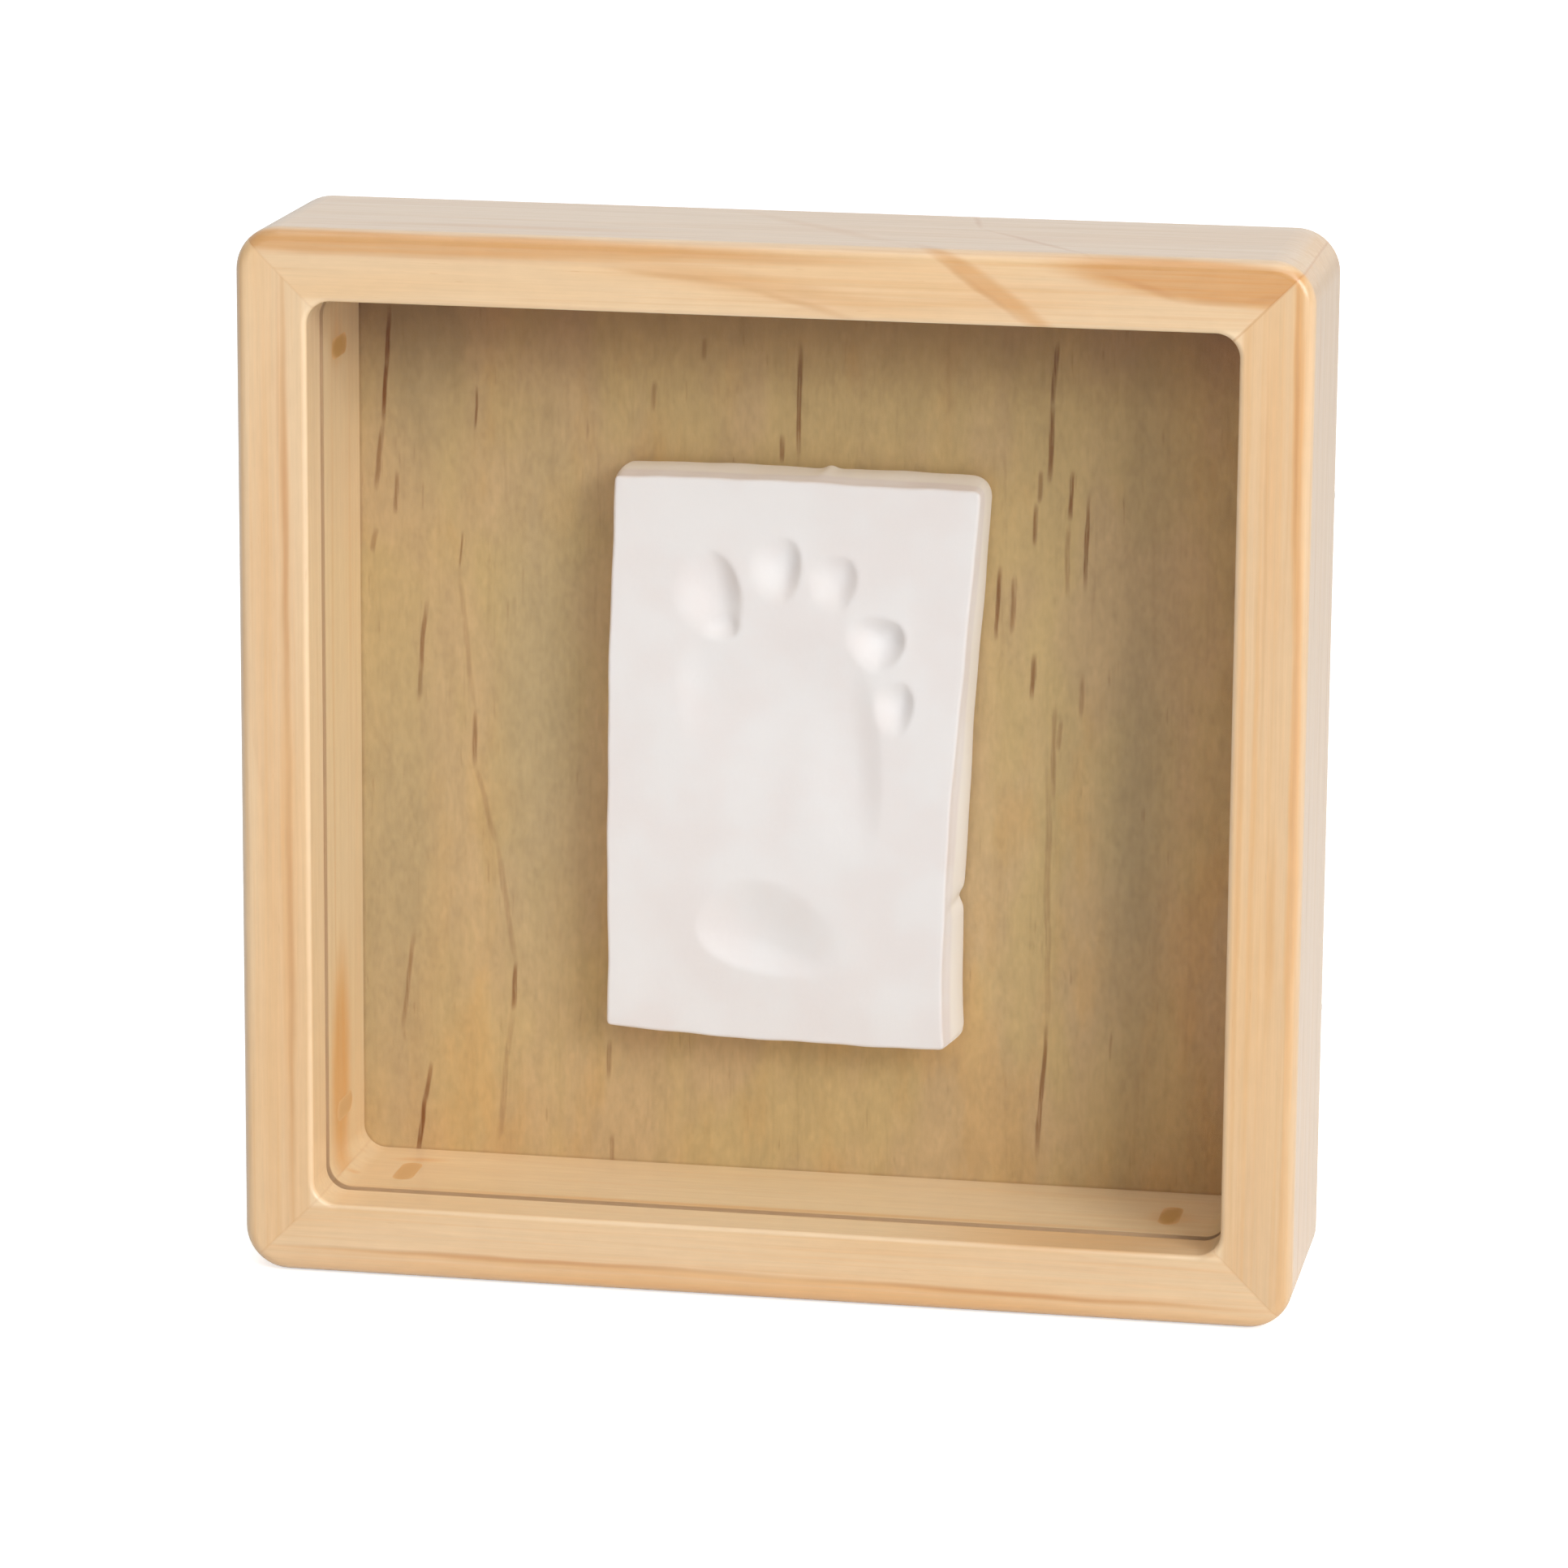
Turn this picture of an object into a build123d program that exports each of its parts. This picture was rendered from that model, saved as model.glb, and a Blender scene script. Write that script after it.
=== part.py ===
from build123d import *
import os

# A square, deep display frame of pale pine. Four mitred rails make the case, a clear pane sits behind their
# front lip, and a flush liner holds it there. A thin board closes the back and carries a clay tile with a
# footprint pressed into it. Four turn buttons hold the board, and a toothed strip hangs the frame on a nail.
# While it is built, x runs to the right and z upwards from the middle of the frame, and y runs backwards
# from the front face. Each piece is then moved so that the origin is at the middle of the base.

# Cuts run this far past the faces that they open.
overrun = 1.0

# Case: the rails' shared section and outline
case_width = 170.0
case_height = 170.0
case_depth = 37.4
case_corner_radius = 7.0
front_edge_radius = 2.0
back_edge_radius = 1.2
rail_width = 11.5
rail_wall = 7.3
lip_depth = 9.0
lip_edge_radius = 0.9
opening_corner_radius = 3.8
rabbet_corner_radius = 4.0

# Window pane
pane_thickness = 1.8
pane_play = 0.2
pane_edge_clearance = 0.5

# Backboard
board_thickness = 2.4
board_sink = 0.2
board_edge_clearance = 0.4

# Liner strips
liner_fit = 0.1

# Nails through the liner, with an oval of filler over each head
liner_nail_depth = 21.6
liner_nail_from_corner = 10.5
liner_nail_radius = 0.6
liner_nail_length = 9.0
liner_nail_head_radius = 1.0
liner_nail_head_height = 0.5
filler_length = 10.0
filler_width = 3.4
filler_depth = 0.6

# Bent steel strips across the back of each mitre
corner_nail_leg = 4.5
corner_nail_thickness = 0.5
corner_nail_depth = 10.0
corner_nail_sink = 0.3

# Turn buttons and the screws that they turn on
button_pivot_height = 42.0
button_hub_radius = 3.5
button_tip_radius = 2.3
button_reach = 12.5
button_thickness = 1.2
button_edge_radius = 0.3
button_play = 0.1
screw_radius = 1.45
screw_fit = 0.05
screw_length = 12.0
screw_point = 3.0
screw_head_radius = 2.6
screw_head_height = 1.6
screw_head_edge = 0.7
screw_slot_length = 3.0
screw_slot_width = 0.6
screw_slot_depth = 0.8

# Toothed hanger strip and its nails
hanger_length = 42.0
hanger_height = 6.2
hanger_thickness = 0.8
hanger_rise = 1.3
hanger_tab = 8.0
hanger_ramp = 2.0
hanger_edge_radius = 1.5
tooth_count = 9
tooth_depth = 1.4
hanger_nail_radius = 0.65
hanger_nail_length = 9.0
hanger_nail_head_radius = 1.5
hanger_nail_head_height = 0.6

# Clay tile on its pads
tile_width = 61.0
tile_height = 92.0
tile_thickness = 9.0
tile_centre_x = -0.2
tile_centre_z = -2.7
tile_edge_radius = 0.7
pad_thickness = 0.8
pad_side = 12.0
pad_inset = 6.0

# Footprint
foot_length = 70.0
foot_top_z = 34.5

# Corners and edge points of the tile, as shares of half its width and half its height
tile_outline_shares = [
    (-0.990, -0.980),
    (-0.200, -1.000),
    (0.830, -1.000),
    (0.875, -0.955),
    (0.880, -0.480),
    (0.905, 0.060),
    (0.960, 0.500),
    (0.995, 0.900),
    (0.940, 0.995),
    (0.200, 1.000),
    (-0.900, 1.000),
    (-0.950, 0.940),
    (-0.985, 0.100),
]

# Dents of the print. Each row gives the centre across and down from the top of the print, half the width,
# half the height and the depth, as shares of the print's length, and then the tilt in degrees.
dent_shares = [
    (-0.202, 0.130, 0.078, 0.110, 0.040, -12.0),
    (-0.047, 0.082, 0.063, 0.083, 0.038, 6.0),
    (0.085, 0.107, 0.060, 0.072, 0.036, 8.0),
    (0.192, 0.246, 0.068, 0.065, 0.040, 25.0),
    (0.236, 0.389, 0.045, 0.069, 0.030, 8.0),
    (-0.035, 0.465, 0.255, 0.230, 0.014, 0.0),
    (0.020, 0.700, 0.170, 0.260, 0.010, 0.0),
    (-0.045, 0.920, 0.175, 0.130, 0.036, 8.0),
]

# Places that follow from the sizes above
opening_width = case_width - 2 * rail_width
opening_height = case_height - 2 * rail_width
rabbet_width = case_width - 2 * rail_wall
rabbet_height = case_height - 2 * rail_wall
liner_front = lip_depth + pane_thickness + pane_play
board_front = case_depth - board_sink - board_thickness
liner_depth = board_front - liner_front
liner_thickness = rail_width - rail_wall - liner_fit
tile_front = board_front - pad_thickness - tile_thickness
button_front = case_depth + button_play
head_front = button_front + button_thickness + button_play
overall_depth = head_front + screw_head_height
pivot_x = (case_width - rail_wall) / 2
hanger_z = (case_height - rail_wall) / 2

to_base = Location((0, -overall_depth / 2, case_height / 2))


def slab(outline, front, depth):
    """Extrude an outline drawn in x and z backwards from a given depth."""
    return extrude(Plane.XZ.offset(-front - depth) * outline, amount=depth)


def rounded(width, height, radius):
    """A rectangle with round corners."""
    return RectangleRounded(width, height, radius)


def along(origin, direction):
    """A plane at a point whose normal runs along a direction, with its own x axis backwards."""
    return Plane(origin=origin, x_dir=(0, 1, 0), z_dir=direction)


def backwards(x, y, z):
    """A plane at a point whose normal runs backwards and whose own x axis runs to the right."""
    return Plane(origin=(x, y, z), x_dir=(1, 0, 0), z_dir=(0, 1, 0))


def mitre_wedge(side):
    """The space of one rail: a trapezium whose slanting ends are the mitre faces."""
    reach = rail_width + opening_corner_radius
    half_x = case_width / 2 + overrun
    half_z = case_height / 2 + overrun
    step = reach + overrun
    if side in ("top", "bottom"):
        sign = 1 if side == "top" else -1
        corners = [
            (-half_x, sign * half_z),
            (half_x, sign * half_z),
            (half_x - step, sign * (half_z - step)),
            (step - half_x, sign * (half_z - step)),
        ]
    else:
        sign = 1 if side == "right" else -1
        corners = [
            (sign * half_x, half_z),
            (sign * half_x, -half_z),
            (sign * (half_x - step), step - half_z),
            (sign * (half_x - step), half_z - step),
        ]
    outline = make_face(Polyline(*corners, close=True))
    return slab(outline, -overrun, case_depth + 2 * overrun)


def liner_nail_planes():
    """The eight places of the liner's nails, each on the inner wall and pointing outwards."""
    across = opening_width / 2 - liner_nail_from_corner
    up = opening_height / 2 - liner_nail_from_corner
    planes = []
    for sign in (-1, 1):
        for end in (-1, 1):
            planes.append(along((end * across, liner_nail_depth, sign * opening_height / 2), (0, 0, sign)))
            planes.append(along((sign * opening_width / 2, liner_nail_depth, end * up), (sign, 0, 0)))
    return planes


def liner_nail():
    """One nail, pointing up from the inner wall, with its head under the filler."""
    head = Cylinder(liner_nail_head_radius, liner_nail_head_height, align=base)
    shank = Cylinder(liner_nail_radius, liner_nail_length, align=base)
    return Location((0, 0, filler_depth)) * (head + shank)


def filler_patch():
    """The oval of filler over one nail, long from front to back."""
    return extrude(SlotOverall(filler_length, filler_width), amount=filler_depth)


def corner_nail(sign_x, sign_z):
    """One bent strip: its bend is on the mitre and each leg lies in one rail."""
    bend_x = case_width / 2 - rail_wall / 2
    bend_z = case_height / 2 - rail_wall / 2
    half = corner_nail_thickness / 2
    outline = [
        (bend_x + half, bend_z + half),
        (bend_x - corner_nail_leg, bend_z + half),
        (bend_x - corner_nail_leg, bend_z - half),
        (bend_x - half, bend_z - half),
        (bend_x - half, bend_z - corner_nail_leg),
        (bend_x + half, bend_z - corner_nail_leg),
    ]
    points = [(sign_x * x, sign_z * z) for x, z in outline]
    front = case_depth - corner_nail_sink - corner_nail_depth
    return slab(make_face(Polyline(*points, close=True)), front, corner_nail_depth)


def corner_nail_slot(sign_x, sign_z):
    """The slot that one bent strip leaves in the wood, open at the back."""
    strip = corner_nail(sign_x, sign_z)
    return strip + Location((0, corner_nail_sink + overrun, 0)) * strip


def screw():
    """A pan-head screw with its head's underside at the origin and its head backwards, along +z."""
    head = Cylinder(screw_head_radius, screw_head_height, align=base)
    head = fillet(head.edges().group_by(Axis.Z)[-1], screw_head_edge)
    shank = Cylinder(screw_radius, screw_length - screw_point, align=hung)
    point = Location((0, 0, screw_point - screw_length)) * Cone(0, screw_radius, screw_point, align=hung)
    slot_place = Location((0, 0, screw_head_height - screw_slot_depth))
    slot = Box(screw_slot_length, screw_slot_width, screw_slot_depth + overrun, align=base)
    cross = slot + Rotation(0, 0, 90) * slot
    return head + shank + point - slot_place * cross


def turn_button():
    """A flat drop-shaped button, turned about the origin, its wing along +y and its back along +z."""
    hub = Circle(button_hub_radius)
    tip = Pos(0, button_reach) * Circle(button_tip_radius)
    plate = extrude(make_hull((hub + tip).edges()), amount=button_thickness)
    plate = fillet(plate.edges().group_by(Axis.Z)[-1], button_edge_radius)
    return plate - Cylinder(screw_radius + screw_fit, button_thickness + overrun, align=base)


def hanger_strip():
    """The toothed strip: flat ends on the wood, a raised middle, and teeth along its lower edge."""
    half = hanger_length / 2
    tab_end = half - hanger_tab
    ramp_end = tab_end - hanger_ramp
    near = [(-half, 0), (-tab_end, 0), (-ramp_end, hanger_rise), (ramp_end, hanger_rise), (tab_end, 0), (half, 0)]
    far = [(x, y + hanger_thickness) for x, y in reversed(near)]
    profile = make_face(Polyline(*near, *far, close=True))
    strip = Location((0, case_depth, -hanger_height / 2)) * extrude(profile, amount=hanger_height)
    strip = fillet(strip.edges().filter_by(Axis.Y).group_by(Axis.X)[0], hanger_edge_radius)
    strip = fillet(strip.edges().filter_by(Axis.Y).group_by(Axis.X)[-1], hanger_edge_radius)
    pitch = 2 * ramp_end / tooth_count
    low = -hanger_height / 2
    for number in range(tooth_count):
        left = number * pitch - ramp_end
        gap = Polyline((left, low), (left + pitch / 2, low + tooth_depth), (left + pitch, low), close=True)
        strip -= slab(make_face(gap), case_depth - overrun, hanger_rise + hanger_thickness + 2 * overrun)
    return Location((0, 0, hanger_z)) * strip


def hanger_nail():
    """A round-headed nail whose head lies on the strip's end, pointing forwards."""
    head = Cylinder(hanger_nail_head_radius, hanger_nail_head_height, align=base)
    shank = Cylinder(hanger_nail_radius, hanger_nail_length, align=hung)
    return head + shank


def tile_blank():
    """The clay slab before the foot is pressed in."""
    points = [(tile_centre_x + x * tile_width / 2, tile_centre_z + z * tile_height / 2) for x, z in tile_outline_shares]
    blank = slab(make_face(Polyline(*points, close=True)), tile_front, tile_thickness)
    return fillet(blank.edges().group_by(Axis.Y)[0], tile_edge_radius)


def dent(across, down, half_width, half_height, depth, tilt):
    """One dent of the print: the lower half of an egg whose widest section lies in the tile's face."""
    egg = scale(Sphere(1), by=(half_width * foot_length, half_height * foot_length, depth * foot_length))
    centre = backwards(tile_centre_x + across * foot_length, tile_front, foot_top_z - down * foot_length)
    return centre * (Rotation(0, 0, tilt) * egg)


def pads():
    """Four square pads between the tile and the board, one near each corner of the tile."""
    across = tile_width / 2 - pad_inset - pad_side / 2
    up = tile_height / 2 - pad_inset - pad_side / 2
    places = [Pos(tile_centre_x + x * across, tile_centre_z + z * up) for x in (-1, 1) for z in (-1, 1)]
    return [slab(place * Rectangle(pad_side, pad_side), tile_front + tile_thickness, pad_thickness) for place in places]


def write(node, *solids):
    """Move one node's solids to the base's frame and write them to the node's file."""
    placed = [to_base * solid for solid in solids]
    shape = placed[0] if len(placed) == 1 else Compound(placed)
    export_step(shape, "parts/" + node + ".step")
    print(node, len(solids), round(sum(solid.volume for solid in placed), 1))


base = (Align.CENTER, Align.CENTER, Align.MIN)
hung = (Align.CENTER, Align.CENTER, Align.MAX)

os.makedirs("parts", exist_ok=True)

signs = [(x, z) for z in (1, -1) for x in (-1, 1)]
nail_planes = liner_nail_planes()
liner_nails = [plane * liner_nail() for plane in nail_planes]
filler = [plane * filler_patch() for plane in nail_planes]
corner_nails = [corner_nail(x, z) for x, z in signs]
screws = [backwards(x * pivot_x, head_front, z * button_pivot_height) * screw() for x, z in signs]
hanger_nail_x = hanger_length / 2 - hanger_tab / 2
nail_places = [backwards(x * hanger_nail_x, case_depth + hanger_thickness, hanger_z) for x in (-1, 1)]
hanger_nails = [place * hanger_nail() for place in nail_places]

# Case ring, then cut into four rails along the mitres
case = slab(rounded(case_width, case_height, case_corner_radius), 0, case_depth)
case = fillet(case.edges().group_by(Axis.Y)[0], front_edge_radius)
case = fillet(case.edges().group_by(Axis.Y)[-1], back_edge_radius)
case -= slab(rounded(opening_width, opening_height, opening_corner_radius), -overrun, case_depth)
lip_edges = case.faces().sort_by(Axis.Y)[0].inner_wires()[0].edges()
case = fillet(lip_edges, lip_edge_radius)
case -= slab(rounded(rabbet_width, rabbet_height, rabbet_corner_radius), lip_depth, case_depth)
for x, z in signs:
    case -= corner_nail_slot(x, z)
for solid in screws + liner_nails + hanger_nails:
    case -= solid
for side in ("top", "bottom", "left", "right"):
    write(side + "_rail", case & mitre_wedge(side))

# Liner ring, cut into four strips along the same mitres
liner_outer = rounded(rabbet_width - 2 * liner_fit, rabbet_height - 2 * liner_fit, rabbet_corner_radius - liner_fit)
liner = slab(liner_outer - rounded(opening_width, opening_height, opening_corner_radius), liner_front, liner_depth)
for solid in filler + liner_nails:
    liner -= solid
for side in ("top", "bottom", "left", "right"):
    write("liner_" + side, liner & mitre_wedge(side))

write("nail_filler", *filler)
write("liner_nails", *liner_nails)
write("corner_nails", *corner_nails)

pane_width = rabbet_width - 2 * pane_edge_clearance
pane_height = rabbet_height - 2 * pane_edge_clearance
pane_radius = rabbet_corner_radius - pane_edge_clearance
write("window_pane", slab(rounded(pane_width, pane_height, pane_radius), lip_depth, pane_thickness))

board_width = rabbet_width - 2 * board_edge_clearance
board_height = rabbet_height - 2 * board_edge_clearance
board_radius = rabbet_corner_radius - board_edge_clearance
write("backboard", slab(rounded(board_width, board_height, board_radius), board_front, board_thickness))

tile = tile_blank()
for row in dent_shares:
    tile -= dent(*row)
write("clay_tile", tile)
write("tile_pads", *pads())

# Each button stands open at rest, its wing along the rail and pointing up.
for (x, z), name in zip(signs, ("upper_left", "upper_right", "lower_left", "lower_right")):
    pivot = backwards(x * pivot_x, button_front, z * button_pivot_height)
    write("turn_button_" + name, pivot * (Rotation(0, 0, 180) * turn_button()))
write("turn_button_screws", *screws)
write("sawtooth_hanger", hanger_strip() - hanger_nails[0] - hanger_nails[1])
write("hanger_nails", *hanger_nails)
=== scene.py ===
import logging
from abc import ABC, abstractmethod
from dataclasses import dataclass, field
from enum import Enum
from typing import Optional, Sequence, Union

import bpy
import numpy as np
from mathutils import Matrix, Vector


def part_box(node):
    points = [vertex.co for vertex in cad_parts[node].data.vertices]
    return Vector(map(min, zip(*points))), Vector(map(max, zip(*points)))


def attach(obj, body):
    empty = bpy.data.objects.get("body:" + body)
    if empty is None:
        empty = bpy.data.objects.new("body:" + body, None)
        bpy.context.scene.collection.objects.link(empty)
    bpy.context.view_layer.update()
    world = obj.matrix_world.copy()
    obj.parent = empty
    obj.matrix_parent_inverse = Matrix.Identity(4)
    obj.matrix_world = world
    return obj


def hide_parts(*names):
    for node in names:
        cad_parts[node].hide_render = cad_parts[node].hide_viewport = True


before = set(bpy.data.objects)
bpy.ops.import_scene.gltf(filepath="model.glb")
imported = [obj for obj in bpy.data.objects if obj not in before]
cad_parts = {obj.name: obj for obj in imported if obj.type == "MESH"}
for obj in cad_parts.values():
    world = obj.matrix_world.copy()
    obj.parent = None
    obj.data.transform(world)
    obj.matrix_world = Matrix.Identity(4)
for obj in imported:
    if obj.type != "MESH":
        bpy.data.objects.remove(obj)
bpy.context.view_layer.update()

# The row frame is in metres: X to the right, Y to the back, Z up, with the case standing on Z = 0.
# Sizes of pieces are given in millimetres on the case's own axes: "across" from the middle of the case,
# "up" from the middle of the case and "depth" from the front face towards the back.

MM = 0.001
FRONT_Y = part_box("top_rail")[0].y
MIDDLE_Z = (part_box("bottom_rail")[0].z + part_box("top_rail")[1].z) / 2.0

log = logging.getLogger("footprint_frame")

Socket = bpy.types.NodeSocket
Feed = Union[float, Sequence[float], Socket]
Pair = tuple[float, float]
Colour = tuple[float, float, float, float]

WHITE: Colour = (1.0, 1.0, 1.0, 1.0)

# The values that a cloud noise keeps to for the most part.
USUAL_NOISE: Pair = (0.3, 0.7)


class Run(Enum):
    """The way the fibres of a piece of wood run."""

    LEVEL = "level"
    UPRIGHT = "upright"


class Side(Enum):
    """One of the four rails or liner strips of the case."""

    TOP = "top"
    BOTTOM = "bottom"
    LEFT = "left"
    RIGHT = "right"


def paint(red: float, green: float, blue: float) -> Colour:
    """Turns a display colour into the linear light that shaders use, by the usual display curve.

    Args:
        red: Red, 0 to 255.
        green: Green, 0 to 255.
        blue: Blue, 0 to 255.

    Returns:
        The colour as linear red, green, blue and a full alpha.
    """
    share = np.array([red, green, blue]) / 255.0
    linear = np.where(share <= 0.04045, share / 12.92, ((share + 0.055) / 1.055) ** 2.4)
    return (float(linear[0]), float(linear[1]), float(linear[2]), 1.0)


def darker(colour: Colour, share: float) -> Colour:
    """Gives a colour at a share of its brightness."""
    return tuple(share * part for part in colour[:3]) + (1.0,)


def place_in_scene(name: str, data: bpy.types.ID) -> bpy.types.Object:
    """Makes an object of given data at the origin and links it to the scene.

    Args:
        name: The object's name.
        data: Its mesh, lamp or camera.

    Returns:
        The object.
    """
    thing = bpy.data.objects.new(name, data)
    bpy.context.scene.collection.objects.link(thing)
    return thing


class Tree:
    """A node tree under construction, with short ways to lay and join its nodes."""

    def __init__(self, tree: bpy.types.NodeTree) -> None:
        """Takes over a node tree and empties it.

        Args:
            tree: The tree.
        """
        self.tree = tree
        self.tree.nodes.clear()

    def put(self, kind: str, feeds: dict[Union[str, int], Feed], **settings: object) -> bpy.types.Node:
        """Lays one node.

        Args:
            kind: The node's type.
            feeds: What goes into its inputs, by their names or numbers.
            **settings: Attributes to set on it first.

        Returns:
            The node.
        """
        node = self.tree.nodes.new(kind)
        for name, value in settings.items():
            setattr(node, name, value)
        for name, value in feeds.items():
            self.feed(node.inputs[name], value)
        return node

    def feed(self, socket: Socket, value: Feed) -> None:
        """Joins an output to a socket, or sets a plain value on it.

        Args:
            socket: The input to feed.
            value: An output socket, a number, a vector or a colour.
        """
        if isinstance(value, bpy.types.NodeSocket):
            self.tree.links.new(value, socket)
        else:
            socket.default_value = value

    def math(self, operation: str, *values: Feed) -> Socket:
        """Lays a math node for one to three numbers or sockets."""
        return self.put("ShaderNodeMath", dict(enumerate(values)), operation=operation).outputs[0]

    def total(self, first: Feed, *others: Feed) -> Feed:
        """Adds several numbers.

        Args:
            first: The first number.
            *others: The others.

        Returns:
            Their sum.
        """
        for other in others:
            first = self.math("ADD", first, other)
        return first

    def times(self, first: Feed, second: Feed) -> Socket:
        """Gives two numbers multiplied."""
        return self.math("MULTIPLY", first, second)

    def minus(self, first: Feed, second: Feed) -> Socket:
        """Gives the first number less the second."""
        return self.math("SUBTRACT", first, second)

    def bare(self, value: Feed) -> Socket:
        """Gives a number without its sign."""
        return self.math("ABSOLUTE", value)

    def span(self, first: Socket, second: Socket) -> Socket:
        """Gives the straight distance for two distances at right angles, by the squares added."""
        return self.math("SQRT", self.total(self.times(first, first), self.times(second, second)))

    def vector(self, first: Feed, second: Feed, third: Feed) -> Socket:
        """Joins three numbers to a vector."""
        return self.put("ShaderNodeCombineXYZ", {0: first, 1: second, 2: third}).outputs[0]

    def vector_math(self, operation: str, *values: Feed) -> bpy.types.Node:
        """Lays a vector math node for one to three vectors or sockets."""
        return self.put("ShaderNodeVectorMath", dict(enumerate(values)), operation=operation)

    def parts(self, vector: Socket) -> Sequence[Socket]:
        """Takes a vector apart into its three numbers."""
        return self.put("ShaderNodeSeparateXYZ", {0: vector}).outputs

    def noise(
        self,
        place: Socket,
        scale: Sequence[float],
        shift: Sequence[float] = (0.0, 0.0, 0.0),
        detail: float = 2.0,
        rough: float = 0.5,
        bend: float = 0.0,
    ) -> Socket:
        """Lays a cloud noise.

        Args:
            place: Where to read it.
            scale: How many of its cells lie in a millimetre along each axis.
            shift: How many cells further on it is read.
            detail: The number of finer layers.
            rough: The strength of the finer layers.
            bend: How much the cells are twisted.

        Returns:
            The noise, within USUAL_NOISE for the most part.
        """
        cells = self.vector_math("MULTIPLY_ADD", place, scale, shift).outputs[0]
        feeds = {"Vector": cells, "Scale": 1.0, "Detail": detail, "Roughness": rough, "Distortion": bend}
        return self.put("ShaderNodeTexNoise", feeds).outputs["Fac"]

    def swing(self, noise: Socket, reach: float) -> Socket:
        """Turns a noise into a swing to both sides of zero, over a given reach in all."""
        return self.times(self.minus(noise, 0.5), reach)

    def vary(self, noise: Socket, start: float, end: float) -> Socket:
        """Carries a noise's usual values over to another range."""
        return self.spread(noise, *USUAL_NOISE, start, end)

    def spread(
        self,
        value: Feed,
        low: float,
        high: float,
        start: float = 0.0,
        end: float = 1.0,
        smooth: bool = False,
    ) -> Socket:
        """Carries a range of values over to another one, kept inside it.

        Args:
            value: The value.
            low: The value that gives start.
            high: The value that gives end.
            start: The first result.
            end: The last result.
            smooth: Whether the result eases in and out.

        Returns:
            The result.
        """
        kind = "SMOOTHSTEP" if smooth else "LINEAR"
        feeds = {"Value": value, "From Min": low, "From Max": high, "To Min": start, "To Max": end}
        return self.put("ShaderNodeMapRange", feeds, interpolation_type=kind, clamp=True).outputs[0]

    def steps(self, value: Feed, stops: Sequence[Pair]) -> Socket:
        """Reads a level off a line through given stops.

        Args:
            value: Where to read it, 0 to 1.
            stops: Pairs of a place and its level, in rising order.

        Returns:
            The level.
        """
        node = self.put("ShaderNodeValToRGB", {0: value})
        elements = node.color_ramp.elements
        while len(elements) < len(stops):
            elements.new(0.5)
        for element, (place, level) in zip(elements, stops):
            element.position = place
            element.color = (level, level, level, 1.0)
        return node.outputs[0]

    def mix(self, share: Feed, first: Feed, second: Feed, kind: str = "MIX") -> Socket:
        """Mixes two colours.

        Args:
            share: The share of the second one.
            first: The first colour.
            second: The second colour.
            kind: The way they are mixed.

        Returns:
            The mixed colour.
        """
        feeds = {0: share, 6: first, 7: second}
        node = self.put("ShaderNodeMix", feeds, data_type="RGBA", blend_type=kind, clamp_factor=True)
        return node.outputs[2]

    def dimmed(self, colour: Socket, brightness: Socket) -> Socket:
        """Multiplies a colour by a brightness."""
        return self.mix(1.0, colour, self.vector(brightness, brightness, brightness), "MULTIPLY")


class Bench(Tree):
    """A material under construction.

    Positions are worked in millimetres on the case's own axes: across, depth and up. For a wood, align()
    sets along and over, the places along its fibres and across them, and grain, which joins them with
    the depth.
    """

    def __init__(self, name: str) -> None:
        """Starts an empty material and lays the nodes that give a point's place on the case.

        Args:
            name: The material's name.
        """
        self.material = bpy.data.materials.new(name)
        self.material.use_nodes = True
        super().__init__(self.material.node_tree)
        spot = self.put("ShaderNodeTexCoord", {}).outputs["Object"]
        origin = (0.0, -FRONT_Y / MM, -MIDDLE_Z / MM)
        self.place = self.vector_math("MULTIPLY_ADD", spot, (1.0 / MM,) * 3, origin).outputs[0]
        self.across, self.depth, self.up = self.parts(self.place)
        self.along, self.over, self.grain = self.across, self.up, self.place

    def align(self, along: Socket, over: Socket) -> None:
        """Lays the way of the fibres.

        Args:
            along: The place along the fibres.
            over: The place across them.
        """
        self.along, self.over = along, over
        self.grain = self.vector(along, over, self.depth)

    def cloud(self, cells: float, detail: float = 2.0, rough: float = 0.5) -> Socket:
        """Lays a noise with as many cells in a millimetre all ways."""
        return self.noise(self.place, (cells,) * 3, detail=detail, rough=rough)

    def relief(self, height: Socket, distance: float, strength: float) -> Socket:
        """Turns a height into a bump.

        Args:
            height: The height, 0 to 1.
            distance: The height's real size in millimetres.
            strength: The share of it that shows.

        Returns:
            The bent normal.
        """
        feeds = {"Strength": strength, "Distance": distance * MM, "Height": height}
        return self.put("ShaderNodeBump", feeds).outputs["Normal"]

    def surface(self, **sockets: Feed) -> bpy.types.Material:
        """Ends the material in one principled shader.

        Args:
            **sockets: The shader's sockets, with underscores for spaces.

        Returns:
            The material.
        """
        feeds = {name.replace("_", " "): value for name, value in sockets.items()}
        return self.close(self.put("ShaderNodeBsdfPrincipled", feeds).outputs[0])

    def close(self, shader: Socket) -> bpy.types.Material:
        """Joins a shader to the material's output and gives the material."""
        self.put("ShaderNodeOutputMaterial", {"Surface": shader})
        return self.material


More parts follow.
